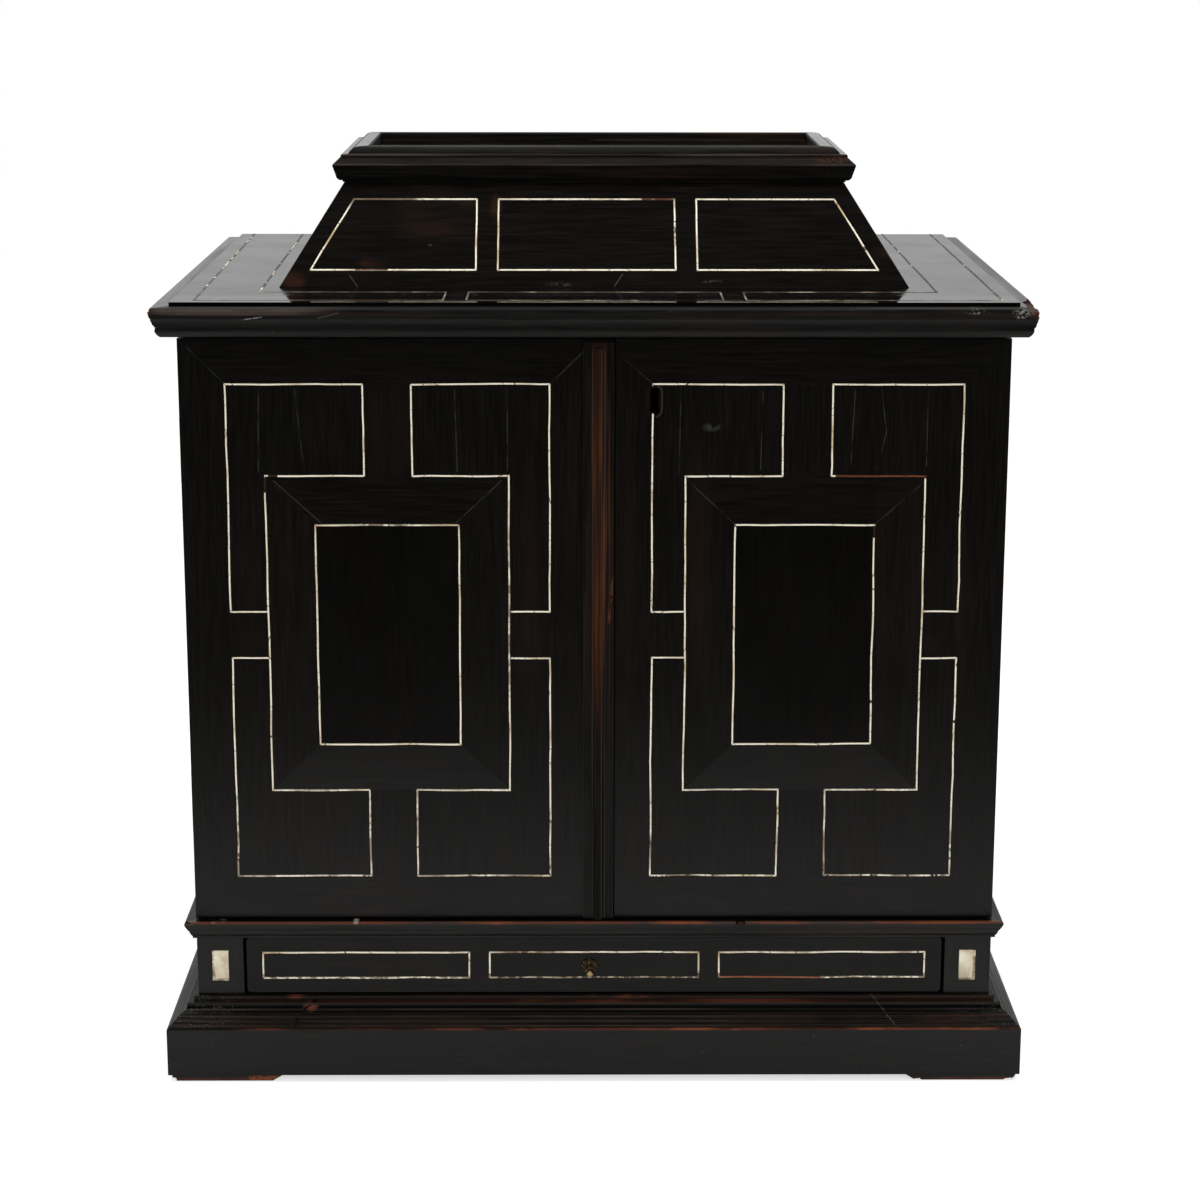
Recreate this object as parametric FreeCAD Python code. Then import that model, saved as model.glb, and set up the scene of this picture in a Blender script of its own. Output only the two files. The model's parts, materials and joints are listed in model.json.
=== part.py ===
import FreeCAD, Part
import math
import os

# An ebonised table cabinet inlaid with bone stringing: a plinth with a long drawer, a pair of
# panelled doors over a nest of eight small drawers, and a coffered top with a shallow tray.
# Millimetres. X runs to the right, Y to the back, Z up. The origin is on the floor, at the
# middle of the plinth's width and depth.

# Body
body_width = 568.0
body_depth = 384.0
side_thickness = 14.0
back_thickness = 10.0
floor_thickness = 8.5

# Plinth, with a moulding that steps in from the plinth board to the frieze
foot_height = 5.5
foot_length = 72.0
foot_setback = 2.5
foot_slant = 9.0
plinth_height = 35.5
plinth_overhang = 20.5
plinth_edge_radius = 1.3
plinth_moulding_height = 17.5
reed_count = 3
reed_rise = 2.4
reed_bulge = 0.45
reed_run_share = 0.2
reed_nose_share = 0.2
plinth_cove_sag = 1.1
plinth_fillet_height = 1.4
plinth_upper_step = 7.2
frieze_step = 3.2
frieze_step_height = 3.3

# Frieze with the long drawer
frieze_height = 44.0
frieze_block_width = 33.0
frieze_block_depth = 20.0
plaque_width = 12.0
plaque_height = 23.0
plaque_thickness = 1.6
plaque_proud = 0.2

# Moulding between the frieze and the doors
mid_moulding_height = 13.5
mid_overhang = 7.5
mid_nosing_radius = 1.7
mid_ovolo_sag = 0.35
mid_quirk = 0.5
mid_fillet_height = 1.4
mid_fillet_step = 2.4
mid_break_height = 6.4
mid_break_step = 4.6

# Doors
door_height = 417.6
door_thickness = 19.4
door_foot_gap = 1.0
door_head_gap = 2.4
door_back_gap = 0.6
meeting_offset = 13.4
meeting_gap = 0.8
facing_thickness = 3.0
border_width = 31.5
panel_rise = 1.5
left_meeting_border = 44.5
right_meeting_border = 25.4
left_frame_outer_gap = 25.9
left_frame_inner_gap = 28.2
right_frame_inner_gap = 23.1
right_frame_outer_gap = 24.8
frame_drop = 64.0
frame_strip_width = 34.3
field_gap = 33.5

# Astragal, the upright moulding on the meeting edge of the left door
astragal_width = 21.4
astragal_flat = 2.4
astragal_bead_width = 6.4
astragal_bead_rise = 2.6
astragal_shoulder = 0.9
astragal_bead_shift = 0.3
astragal_cove_sag = 0.5
astragal_cap_height = 6.0

# Bone stringing
string_width = 1.4
string_depth = 1.2
string_proud = 0.12

# Hinges, two to a door, with their axis just outside the side of the case
hinge_length = 46.0
hinge_inset = 58.0
hinge_axis_out = 0.8
knuckle_radius = 2.4
knuckle_clearance = 0.35
pin_radius = 1.0
pin_clearance = 0.15
leaf_width = 12.5
leaf_thickness = 1.1
knuckle_gap = 0.3

# Lock on the back of the right door
keyhole_width = 6.4
keyhole_height = 18.3
keyhole_waist = 4.6
keyhole_offset = 26.7
keyhole_drop = 43.2
lock_width = 44.0
lock_height = 50.0
lock_depth = 9.0
lock_edge = 1.5
lock_slot_depth = 5.0
bolt_height = 12.0
bolt_thickness = 4.0
bolt_travel = 10.0
bolt_length = 34.0
bolt_rise = 16.5
bolt_inset = 0.75
bolt_clearance = 0.3
keeper_wall = 3.0
keeper_edge = 1.4

# Cornice and top board
cornice_height = 20.5
cornice_overhang = 16.5
cornice_soffit = 9.5
cornice_break_height = 6.5
cornice_break_step = 13.0
cornice_cove_height = 13.2
cornice_cove_step = 15.6
cornice_ovolo_sag = 0.9
cornice_cove_sag = 0.45
cornice_quirk = 0.5
nosing_radius = 2.4
top_board_margin = 4.0
top_board_thickness = 14.0
top_proud = 2.5
case_top_thickness = 13.0
top_outer_string = 9.0
top_front_string = 9.5
top_band_width = 39.6
top_left_lean = 5.2
top_centre_half = 87.5
top_end_gap = 16.0

# Coffer, the hollow sloping lid of the cabinet, with its own moulding round a shallow tray
coffer_width = 443.0
coffer_depth = 232.0
coffer_rise = 70.0
coffer_run = 43.4
coffer_board = 12.0
coffer_front_margin = 84.0
coffer_string_foot = 13.6
coffer_string_head = 68.6
coffer_string_side = 14.3
coffer_centre_half = 62.5
coffer_centre_shift = -5.4
coffer_end_gap = 15.4
tray_moulding_height = 24.4
tray_overhang = 7.8
tray_rim_width = 17.0
tray_recess = 8.0
tray_floor_thickness = 9.0
tray_fillet_step = 1.2
tray_fillet_height = 1.2
tray_roll_step = 5.6
tray_roll_height = 4.8
tray_roll_sag = 0.8
tray_tip_height = 11.8
tray_tip_thickness = 0.9
tray_ledge_height = 17.4
tray_bead_step = 2.3
tray_bead_radius = 1.0
tray_bead_height = 19.6
tray_flat_step = 2.6
tray_cap_step = 10.2
tray_cap_sag = 1.3
tray_edge_radius = 1.0

# Long drawer
drawer_front_thickness = 18.0
drawer_corner_radius = 2.8
drawer_side_gap = 2.3
drawer_foot_gap = 1.5
drawer_head_gap = 1.2
drawer_board = 9.0
drawer_bottom_thickness = 5.0
drawer_back_gap = 6.0
drawer_side_drop = 3.3
runner_gap = 0.3
guide_gap = 0.6
guide_height = 14.0
drawer_string_inset = 12.0
drawer_string_top = 10.9
drawer_string_bottom = 11.3
drawer_centre_half = 74.8
drawer_string_gap = 14.6

# Brass pull: a rosette with a small drop that swings on it
pull_offset = -3.2
pull_drop = 0.6
rosette_radius = 6.1
rosette_thickness = 0.9
rosette_petals = 8
rosette_notch_share = 0.8
lug_gap = 1.5
lug_thickness = 0.8
lug_reach = 3.9
lug_height = 2.2
bail_radius = 1.25
bail_wire = 0.42
drop_length = 8.2
drop_radius = 2.4
drop_neck = 0.6
drop_neck_share = 0.3
drop_waist_share = 0.72
swing_clearance = 0.2

# Nest of drawers behind the doors
nest_recess = 18.0
nest_stile_width = 30.0
nest_stile_depth = 10.0
nest_board = 8.0
nest_row_shares = (0.21, 0.235, 0.265, 0.29)
nest_gap = 0.8
nest_drawer_front = 10.0
nest_drawer_board = 6.0
nest_drawer_bottom = 4.0
nest_side_share = 0.78
nest_back_gap = 5.0
knob_length = 10.5
knob_radius = 6.0
knob_neck_radius = 2.6

# One overrun serves all cuts
overrun = 5.0

# Places worked out from the sizes
total_depth = body_depth + plinth_overhang
y_back = total_depth / 2
y_face = y_back - body_depth
y_case = y_face + door_thickness + door_back_gap
half_width = body_width / 2
inner_half = half_width - side_thickness
y_middle = (y_face + y_back) / 2
z_plinth = foot_height + plinth_height
z_frieze = z_plinth + plinth_moulding_height
z_mid = z_frieze + frieze_height
z_case = z_mid + mid_moulding_height
z_door = z_case + door_foot_gap
z_head = z_door + door_height
z_cornice = z_head + door_head_gap
z_top = z_cornice + cornice_height + top_proud
z_slope = z_top + coffer_rise
z_rim = z_slope + tray_moulding_height
z_tray = z_rim - tray_recess
z_board = z_top - top_board_thickness
z_ceiling = z_board - case_top_thickness
slope_length = math.hypot(coffer_rise, coffer_run)
slope_angle = math.degrees(math.atan2(coffer_rise, coffer_run))
coffer_y = y_face - cornice_overhang + coffer_front_margin + coffer_depth / 2
left_field_start = -half_width + border_width
left_field_end = meeting_offset - left_meeting_border
right_field_start = meeting_offset + meeting_gap + right_meeting_border
right_field_end = half_width - border_width
QUARTER_TURN = math.degrees(math.pi / 2)
QUARTER_SAG = 1 - math.sqrt(0.5)
X_AXIS = FreeCAD.Vector(1, 0, 0)
Z_AXIS = FreeCAD.Vector(0, 0, 1)
ORIGIN = FreeCAD.Vector(0, 0, 0)
SIDE_TURNS = {"front": 0, "right": 1, "back": 2, "left": 3}


def vec(x, y, z):
    return FreeCAD.Vector(x, y, z)


def box(x0, x1, y0, y1, z0, z1):
    """A board between two corners."""
    return Part.makeBox(x1 - x0, y1 - y0, z1 - z0, vec(x0, y0, z0))


def plate(points, z0, z1):
    """A flat plate with a straight-sided outline, between two heights."""
    corners = [vec(x, y, z0) for x, y in points]
    wire = Part.makePolygon(corners + [corners[0]])
    return Part.Face(wire).extrude(vec(0, 0, z1 - z0))


def bowed_wire(outline, place):
    """A closed outline of (across, up, sag) points: sag bows the edge that leads to the point."""
    edges = []
    last = outline[-1]
    for point in outline:
        start, end = place(last[0], last[1]), place(point[0], point[1])
        length = math.hypot(point[0] - last[0], point[1] - last[1])
        if point[2] == 0:
            edges.append(Part.LineSegment(start, end).toShape())
        else:
            across = (last[0] + point[0]) / 2 + point[2] * (point[1] - last[1]) / length
            up = (last[1] + point[1]) / 2 - point[2] * (point[0] - last[0]) / length
            edges.append(Part.Arc(start, place(across, up), end).toShape())
        last = point
    return Part.Wire(edges)


def run(outline, length, mitre_left=True, mitre_right=True):
    """One length of moulding along X: its outline is (outwards, up), outwards being -Y."""
    reach = max(abs(point[0]) for point in outline) + overrun
    half = length / 2
    wire = bowed_wire(outline, lambda out, up: vec(-half - reach, -out, up))
    bar = Part.Face(wire).extrude(vec(length + 2 * reach, 0, 0))
    left = reach if mitre_left else 0
    right = reach if mitre_right else 0
    plan = [(-half - left, -reach), (half + right, -reach), (half - right, reach), (-half + left, reach)]
    bottom = min(point[1] for point in outline) - overrun
    top = max(point[1] for point in outline) + overrun
    return bar.common(plate(plan, bottom, top)).Solids[0]


def turned(shape, side, width, depth, y_centre, z):
    """Moves a shape made for the front to one side of a rectangle."""
    turns = SIDE_TURNS[side]
    shape = shape.copy()
    shape.rotate(ORIGIN, Z_AXIS, turns * QUARTER_TURN)
    across = {"front": 0, "right": width / 2, "back": 0, "left": -width / 2}[side]
    along = {"front": -depth / 2, "right": 0, "back": depth / 2, "left": 0}[side]
    shape.translate(vec(across, y_centre + along, z))
    return shape


def three_sides(outline, z):
    """Front, left and right lengths of a moulding round the body, cut flush at the back."""
    front = turned(run(outline, body_width), "front", body_width, body_depth, y_middle, z)
    left = run(outline, body_depth, mitre_left=False)
    right = run(outline, body_depth, mitre_right=False)
    return [front,
            turned(left, "left", body_width, body_depth, y_middle, z),
            turned(right, "right", body_width, body_depth, y_middle, z)]


def strips(points, closed, width=string_width):
    """Mitred strips, as quadrilaterals, along a line of points."""
    count = len(points)
    last = count if closed else count - 1
    sides = []
    for i in range(count):
        before = points[i - 1] if closed or i > 0 else None
        after = points[(i + 1) % count] if closed or i < count - 1 else None
        sides.append(corner_pair(before, points[i], after, width))
    return [[sides[i][0], sides[(i + 1) % count][0], sides[(i + 1) % count][1], sides[i][1]]
            for i in range(last)]


def corner_pair(before, here, after, width):
    """The two edge points of a strip at one of its corners."""
    normals = []
    for start, end in ((before, here), (here, after)):
        if start is not None and end is not None:
            length = math.hypot(end[0] - start[0], end[1] - start[1])
            normals.append(((start[1] - end[1]) / length, (end[0] - start[0]) / length))
    nx = sum(n[0] for n in normals) / len(normals)
    ny = sum(n[1] for n in normals) / len(normals)
    scale = width / 2 / (nx * nx + ny * ny)
    return ((here[0] + nx * scale, here[1] + ny * scale), (here[0] - nx * scale, here[1] - ny * scale))


def inlay(quads, surface):
    """Bone strips let into a surface that faces up at the given height, and their grooves."""
    bone = [plate(quad, surface - string_depth, surface + string_proud) for quad in quads]
    grooves = [plate(quad, surface - string_depth, surface + overrun) for quad in quads]
    return bone, grooves


def cut_all(shape, tools):
    """A solid, or a list of solids, less every tool."""
    if isinstance(shape, list):
        return [cut_all(one, tools) for one in shape]
    result = shape.cut(tools)
    return result.Solids[0] if len(result.Solids) == 1 else Part.makeCompound(result.Solids)


def stood_up(shapes, y):
    """Stands work that was laid out flat, face up, against a plane that faces the front."""
    result = []
    for shape in shapes:
        shape = shape.copy()
        shape.rotate(ORIGIN, X_AXIS, QUARTER_TURN)
        shape.translate(vec(0, y, 0))
        result.append(shape)
    return result


def rectangle(x0, x1, y0, y1):
    return [(x0, y0), (x1, y0), (x1, y1), (x0, y1)]


def save(name, solids):
    """Writes one node: a single solid, or a group of separate ones."""
    parts = []
    for solid in (solids if isinstance(solids, list) else [solids]):
        parts += solid.Solids
    shape = parts[0] if len(parts) == 1 else Part.makeCompound(parts)
    shape.exportStep("parts/" + name + ".step")


def plinth():
    """Plinth boards, moulding and feet."""
    board = [(0, 0, 0), (plinth_overhang, 0, 0),
             (plinth_overhang, plinth_height - plinth_edge_radius, 0),
             (plinth_overhang - plinth_edge_radius, plinth_height, plinth_edge_radius * QUARTER_SAG),
             (0, plinth_height, 0)]
    front, left, right = three_sides(board, foot_height)
    save("plinth_front", front)
    save("plinth_left", left)
    save("plinth_right", right)
    save("plinth_back", box(-inner_half, inner_half, y_back - side_thickness, y_back,
                            foot_height, z_frieze - floor_thickness))
    save("plinth_moulding", three_sides(plinth_moulding_outline(), z_plinth))
    save("plinth_feet", feet())


def plinth_moulding_outline():
    """Reeds, a cove and two square steps, from the plinth board in to the frieze."""
    cove_foot = reed_count * reed_rise + plinth_fillet_height / 2
    cove_head = plinth_moulding_height - frieze_step_height
    reed_run = (plinth_overhang - plinth_upper_step) * reed_run_share
    start = plinth_overhang - plinth_edge_radius
    outline = [(0, 0, 0), (start, 0, 0)]
    for i in range(reed_count):
        outline.append((start - i * reed_run, reed_rise * (i + reed_nose_share), 0))
        outline.append((start - (i + 1) * reed_run, reed_rise * (i + 1), reed_bulge))
    outline += [(start - reed_count * reed_run, cove_foot, 0),
                (plinth_upper_step, cove_head - plinth_fillet_height, -plinth_cove_sag),
                (plinth_upper_step, cove_head, 0),
                (frieze_step, cove_head, 0),
                (frieze_step, plinth_moulding_height, 0),
                (0, plinth_moulding_height, 0)]
    return outline


def feet():
    """Four flat pads under the plinth's corners, with their inner ends cut on a slant."""
    pads = []
    edge = half_width + plinth_overhang - foot_setback
    front = y_face - plinth_overhang + foot_setback
    back = y_back - foot_setback
    for side in (-1, 1):
        pad = [(edge, 0), (edge, foot_height), (edge - foot_length - foot_slant, foot_height),
               (edge - foot_length, 0)]
        wire = [vec(side * x, 0, z) for x, z in pad]
        face = Part.Face(Part.makePolygon(wire + [wire[0]]))
        for y0 in (front, back - foot_length):
            block = face.extrude(vec(0, foot_length, 0))
            block.translate(vec(0, y0, 0))
            pads.append(block)
    return pads


def frieze():
    """Floor of the drawer space, blocks, plaques, guides, moulding and the floor of the case."""
    save("base_floor", deck(z_frieze - floor_thickness, z_frieze))
    centre = half_width - frieze_block_width / 2
    z_plaque = (z_frieze + z_mid) / 2
    blocks, plaques, guides = [], [], []
    guide_inner = half_width - frieze_block_width - drawer_side_gap + guide_gap
    for side in (-1, 1):
        x = side * centre
        bone = box(x - plaque_width / 2, x + plaque_width / 2, y_face - plaque_proud,
                   y_face + plaque_thickness, z_plaque - plaque_height / 2, z_plaque + plaque_height / 2)
        block = box(x - frieze_block_width / 2, x + frieze_block_width / 2, y_face,
                    y_face + frieze_block_depth, z_frieze, z_mid)
        blocks.append(block.cut(bone).Solids[0])
        plaques.append(bone)
        edges = sorted((side * guide_inner, side * inner_half))
        guides.append(box(edges[0], edges[1], y_face + frieze_block_depth, y_back - back_thickness,
                          z_frieze, z_frieze + guide_height))
    save("frieze_blocks", blocks)
    save("bone_plaques", plaques)
    save("drawer_guides", guides)
    save("mid_moulding", three_sides(mid_outline(), z_mid))
    save("case_floor", deck(z_mid, z_case))


def deck(z0, z1):
    """A floor between the side boards that widens to the full width in front of them."""
    board = box(-inner_half, inner_half, y_face, y_back - back_thickness, z0, z1)
    lip = box(-half_width, half_width, y_face, y_case, z0, z1)
    return board.fuse(lip).removeSplitter()


def mid_outline():
    """Fillet, ovolo, quirk and a worn nosing."""
    tip = mid_moulding_height - mid_nosing_radius
    return [(0, 0, 0), (mid_fillet_step, 0, 0), (mid_fillet_step, mid_fillet_height, 0),
            (mid_break_step, mid_break_height, mid_ovolo_sag),
            (mid_break_step + mid_quirk, mid_break_height, 0),
            (mid_overhang - mid_quirk, tip - mid_nosing_radius, 0),
            (mid_overhang, tip, 0),
            (mid_overhang - mid_nosing_radius, mid_moulding_height, mid_nosing_radius * QUARTER_SAG),
            (0, mid_moulding_height, 0)]


def case_shell():
    """Sides, back and top board of the case, with notches for the hinges."""
    seats = hinge_seats()
    for name, side in (("case_side_left", -1), ("case_side_right", 1)):
        edges = sorted((side * inner_half, side * half_width))
        board = box(edges[0], edges[1], y_case, y_back, foot_height, z_cornice)
        save(name, cut_all(board, seats))
    save("case_back", box(-inner_half, inner_half, y_back - back_thickness, y_back,
                          z_frieze - floor_thickness, z_board))
    save("case_top", box(-inner_half, inner_half, y_case, y_back - back_thickness,
                         z_ceiling, z_board))


def hinge_heights():
    """Lower ends of the two hinges of a door."""
    return (z_door + hinge_inset, z_head - hinge_inset - hinge_length)


def hinge_axis(side):
    return (side * (half_width + hinge_axis_out), y_case - door_back_gap / 2)


def hinge_seats():
    """Room for the leaves and knuckles in the case sides and the doors."""
    tools = []
    room = knuckle_radius + knuckle_clearance
    for side in (-1, 1):
        x, y = hinge_axis(side)
        edges = sorted((x, x - side * leaf_width))
        for z in hinge_heights():
            tools.append(box(x - room, x + room, y - room, y + room, z, z + hinge_length))
            tools.append(box(edges[0], edges[1], y - door_back_gap / 2 - leaf_thickness,
                             y + door_back_gap / 2 + leaf_thickness, z, z + hinge_length))
    return tools


def hinge_half(side, z, on_door):
    """One leaf with its knuckles. The door's leaf has the middle knuckle, the case's the outer two."""
    x, y = hinge_axis(side)
    step = hinge_length / 3
    edges = sorted((x, x - side * leaf_width))
    back = y + door_back_gap / 2 if not on_door else y - door_back_gap / 2 - leaf_thickness
    leaf = box(edges[0], edges[1], back, back + leaf_thickness, z, z + hinge_length)
    own = (1,) if on_door else (0, 2)
    for i in range(3):
        z_low = z + i * step
        if i not in own:
            room = Part.makeCylinder(knuckle_radius + knuckle_clearance, step + 2 * knuckle_gap,
                                     vec(x, y, z_low - knuckle_gap))
            leaf = leaf.cut(room)
    for i in own:
        foot = vec(x, y, z + i * step + knuckle_gap / 2)
        leaf = leaf.fuse(Part.makeCylinder(knuckle_radius, step - knuckle_gap, foot))
    if on_door:
        leaf = leaf.cut(Part.makeCylinder(pin_radius + pin_clearance, hinge_length + 2 * overrun,
                                          vec(x, y, z - overrun)))
    else:
        foot = vec(x, y, z + knuckle_gap / 2)
        leaf = leaf.fuse(Part.makeCylinder(pin_radius, hinge_length - knuckle_gap, foot))
    return leaf.removeSplitter().Solids


def cornice():
    """Cornice moulding, top board and the bone stringing on it."""
    tip = cornice_height - nosing_radius
    outline = [(-side_thickness, 0, 0), (cornice_soffit, 0, 0),
               (cornice_break_step, cornice_break_height, cornice_ovolo_sag),
               (cornice_break_step + cornice_quirk, cornice_break_height, 0),
               (cornice_cove_step, cornice_cove_height, -cornice_cove_sag),
               (cornice_overhang, tip, 0),
               (cornice_overhang - nosing_radius, cornice_height, nosing_radius * QUARTER_SAG),
               (top_board_margin, cornice_height, 0),
               (top_board_margin, z_board - z_cornice, 0),
               (-side_thickness, z_board - z_cornice, 0)]
    save("cornice_moulding", three_sides(outline, z_cornice))
    edge = half_width + top_board_margin
    board = box(-edge, edge, y_face - top_board_margin, y_back, z_board, z_top)
    bone, grooves = inlay(top_strings(), z_top)
    save("top_board", cut_all(board, grooves))
    save("top_stringing", bone)


def top_strings():
    """A band round the front and sides of the top, in three parts. The left side leans inwards."""
    outer = half_width + top_board_margin - top_outer_string - string_width
    inner = outer - top_band_width
    front = y_face - top_board_margin + top_front_string
    rear = front + top_band_width
    end = top_centre_half + top_end_gap
    quads = strips(rectangle(-top_centre_half, top_centre_half, front, rear), True)
    for side, lean in ((-1, top_left_lean), (1, 0)):
        band = [(side * outer, y_back), (side * (outer - lean), front), (side * end, front),
                (side * end, rear), (side * (inner - lean), rear), (side * inner, y_back)]
        quads += strips(band, False)
    return quads


def coffer():
    """Four sloping boards, mitred at the corners, the stringing on them, moulding and tray."""
    level = coffer_board * slope_length / coffer_rise
    section = [(0, 0, 0), (-coffer_run, coffer_rise, 0), (-coffer_run - level, coffer_rise, 0),
               (-level, 0, 0)]
    lengths = {"front": coffer_width, "back": coffer_width, "left": coffer_depth, "right": coffer_depth}
    bone = []
    for side, length in lengths.items():
        board = turned(run(section, length), side, coffer_width, coffer_depth, coffer_y, z_top)
        strings, grooves = inlay(coffer_strings(side, length), 0)
        strings = on_slope(strings, side)
        grooves = on_slope(grooves, side)
        save("coffer_" + side, cut_all(board, grooves))
        bone += strings
    save("coffer_stringing", bone)
    save("tray_moulding", tray_moulding())
    half_x = coffer_width / 2 - coffer_run - tray_rim_width
    half_y = coffer_depth / 2 - coffer_run - tray_rim_width
    save("tray_floor", box(-half_x, half_x, coffer_y - half_y, coffer_y + half_y,
                           z_tray - tray_floor_thickness, z_tray))


def on_slope(shapes, side):
    """Lays flat work, with Y up the slope, on one sloping side of the coffer."""
    result = []
    for shape in shapes:
        shape = shape.copy()
        shape.rotate(ORIGIN, X_AXIS, slope_angle)
        result.append(turned(shape, side, coffer_width, coffer_depth, coffer_y, z_top))
    return result


def coffer_strings(side, length):
    """Three panels on the long slopes, one on the short ones. The ends follow the corners."""
    lean = coffer_run / slope_length
    low, high = coffer_string_foot, coffer_string_head
    foot = length / 2 - coffer_string_side - low * lean
    head = foot - (high - low) * lean
    if side in ("left", "right"):
        return strips([(-foot, low), (foot, low), (head, high), (-head, high)], True)
    shift = coffer_centre_shift if side == "front" else -coffer_centre_shift
    quads = strips(rectangle(shift - coffer_centre_half, shift + coffer_centre_half, low, high), True)
    for hand in (-1, 1):
        end = shift + hand * (coffer_centre_half + coffer_end_gap)
        quads += strips([(end, low), (hand * foot, low), (hand * head, high), (end, high)], True)
    return quads


def tray_moulding():
    """Ovolo and tip, a slope, a bead and a rounded rim, mitred on all four sides."""
    outline = [(0, 0, 0), (tray_fillet_step, 0, 0),
               (tray_fillet_step, tray_fillet_height, 0),
               (tray_fillet_step * 2, tray_fillet_height, 0),
               (tray_roll_step, tray_roll_height, tray_roll_sag),
               (tray_overhang, tray_tip_height, 0),
               (tray_overhang, tray_tip_height + tray_tip_thickness, 0),
               (tray_bead_step, tray_ledge_height, 0),
               (tray_bead_step, tray_bead_height - tray_bead_radius, 0),
               (tray_bead_step - tray_bead_radius, tray_bead_height, tray_bead_radius * QUARTER_SAG),
               (-tray_flat_step, tray_bead_height, 0),
               (-tray_cap_step, tray_moulding_height, tray_cap_sag),
               (-tray_rim_width + tray_edge_radius, tray_moulding_height, 0),
               (-tray_rim_width, tray_moulding_height - tray_edge_radius, 0),
               (-tray_rim_width, 0, 0)]
    width = coffer_width - 2 * coffer_run
    depth = coffer_depth - 2 * coffer_run
    lengths = {"front": width, "back": width, "left": depth, "right": depth}
    return [turned(run(outline, length), side, width, depth, coffer_y, z_slope)
            for side, length in lengths.items()]


def door_strings(x0, x1, frame0, frame1):
    """Four bracket-shaped bands round the frame line, which runs on at the sides."""
    low, high = z_door + border_width, z_head - border_width
    frame_low, frame_high = low + frame_drop, high - frame_drop
    middle_x, middle_z = (x0 + x1) / 2, (low + high) / 2
    gap = field_gap / 2
    trim = string_width / 2
    quads = []
    for side, outer, inner in ((-1, x0, frame0), (1, x1, frame1)):
        for level, edge, line in ((-1, low, frame_low), (1, high, frame_high)):
            band = [(inner + side * trim, middle_z + level * gap), (outer, middle_z + level * gap),
                    (outer, edge), (middle_x + side * gap, edge), (middle_x + side * gap, line),
                    (inner - side * trim, line)]
            quads += strips(band, False)
        quads += strips([(inner, frame_low - trim), (inner, frame_high + trim)], False)
    return quads


def door(name, x0, x1, field0, field1, frame0, frame1):
    """Door board with mitred borders, a sunk field, a bevelled frame and a raised panel."""
    core = plate(rectangle(x0, x1, z_door, z_head), -door_thickness, -facing_thickness)
    edge = plate(rectangle(x0, x1, z_door, z_head), -facing_thickness, 0)
    low, high = z_door + border_width, z_head - border_width
    frame_low, frame_high = low + frame_drop, high - frame_drop
    bone, grooves = inlay(door_strings(field0, field1, frame0, frame1), 0)
    panel = rectangle(frame0 + frame_strip_width, frame1 - frame_strip_width,
                      frame_low + frame_strip_width, frame_high - frame_strip_width)
    panel_bone, panel_grooves = inlay(strips(panel, True), panel_rise)
    border = border_strips(field0, field1, low, high)
    border = [strip.common(edge).Solids[0] for strip in border]
    field = plate(rectangle(field0, field1, low, high), -facing_thickness, 0).cut(
        plate(rectangle(frame0, frame1, frame_low, frame_high), -facing_thickness - overrun, overrun))
    frame = bevelled_frame(frame0, frame1, frame_low, frame_high)
    raised = plate(panel, -facing_thickness, panel_rise)
    cuts = grooves + panel_grooves
    pieces = {"board": [core], "border": cut_all(border, cuts), "field": [cut_all(field, cuts)],
              "frame": cut_all(frame, cuts), "panel": [cut_all(raised, cuts)],
              "stringing": bone + panel_bone}
    holes = keyhole() if name == "right" else []
    for piece, solids in pieces.items():
        standing = stood_up(solids, y_face)
        if piece == "board":
            standing = cut_all(standing, hinge_seats() + holes)
        elif holes and piece in ("border", "field", "stringing"):
            standing = cut_all(standing, holes)
        save("door_" + name + "_" + piece, standing)
    side = -1 if name == "left" else 1
    leaves = []
    for z in hinge_heights():
        leaves += hinge_half(side, z, on_door=True)
    save("door_" + name + "_hinges", leaves)


def border_strips(x0, x1, low, high):
    """Four mitred facings round a field, laid flat."""
    inner = rectangle(x0, x1, low, high)
    outer = rectangle(x0 - border_width, x1 + border_width, low - border_width, high + border_width)
    return [plate([outer[i], outer[(i + 1) % 4], inner[(i + 1) % 4], inner[i]], -facing_thickness, 0)
            for i in range(4)]


def bevelled_frame(x0, x1, low, high):
    """Four mitred strips that rise from the field to the raised panel, laid flat."""
    section = [(0, -facing_thickness, 0), (0, 0, 0), (-frame_strip_width, panel_rise, 0),
               (-frame_strip_width, -facing_thickness, 0)]
    width, depth = x1 - x0, high - low
    lengths = {"front": width, "back": width, "left": depth, "right": depth}
    result = []
    for side, length in lengths.items():
        strip = turned(run(section, length), side, width, depth, (low + high) / 2, 0)
        strip.translate(vec((x0 + x1) / 2, 0, 0))
        result.append(strip)
    return result


def keyhole():
    """A tall keyhole, round at both ends and drawn in at the waist, through the door."""
    x = meeting_offset + meeting_gap + keyhole_offset
    z = z_head - keyhole_drop
    radius, waist = keyhole_width / 2, keyhole_waist / 2
    straight = keyhole_height / 2 - radius
    depth = door_thickness + lock_slot_depth + door_back_gap
    tool = box(x - waist, x + waist, y_face - overrun, y_face + depth, z - straight, z + straight)
    for level in (-1, 1):
        centre = vec(x, y_face - overrun, z + level * straight)
        tool = tool.fuse(Part.makeCylinder(radius, depth + overrun, centre, vec(0, 1, 0)))
    return [tool.removeSplitter().Solids[0]]


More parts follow.
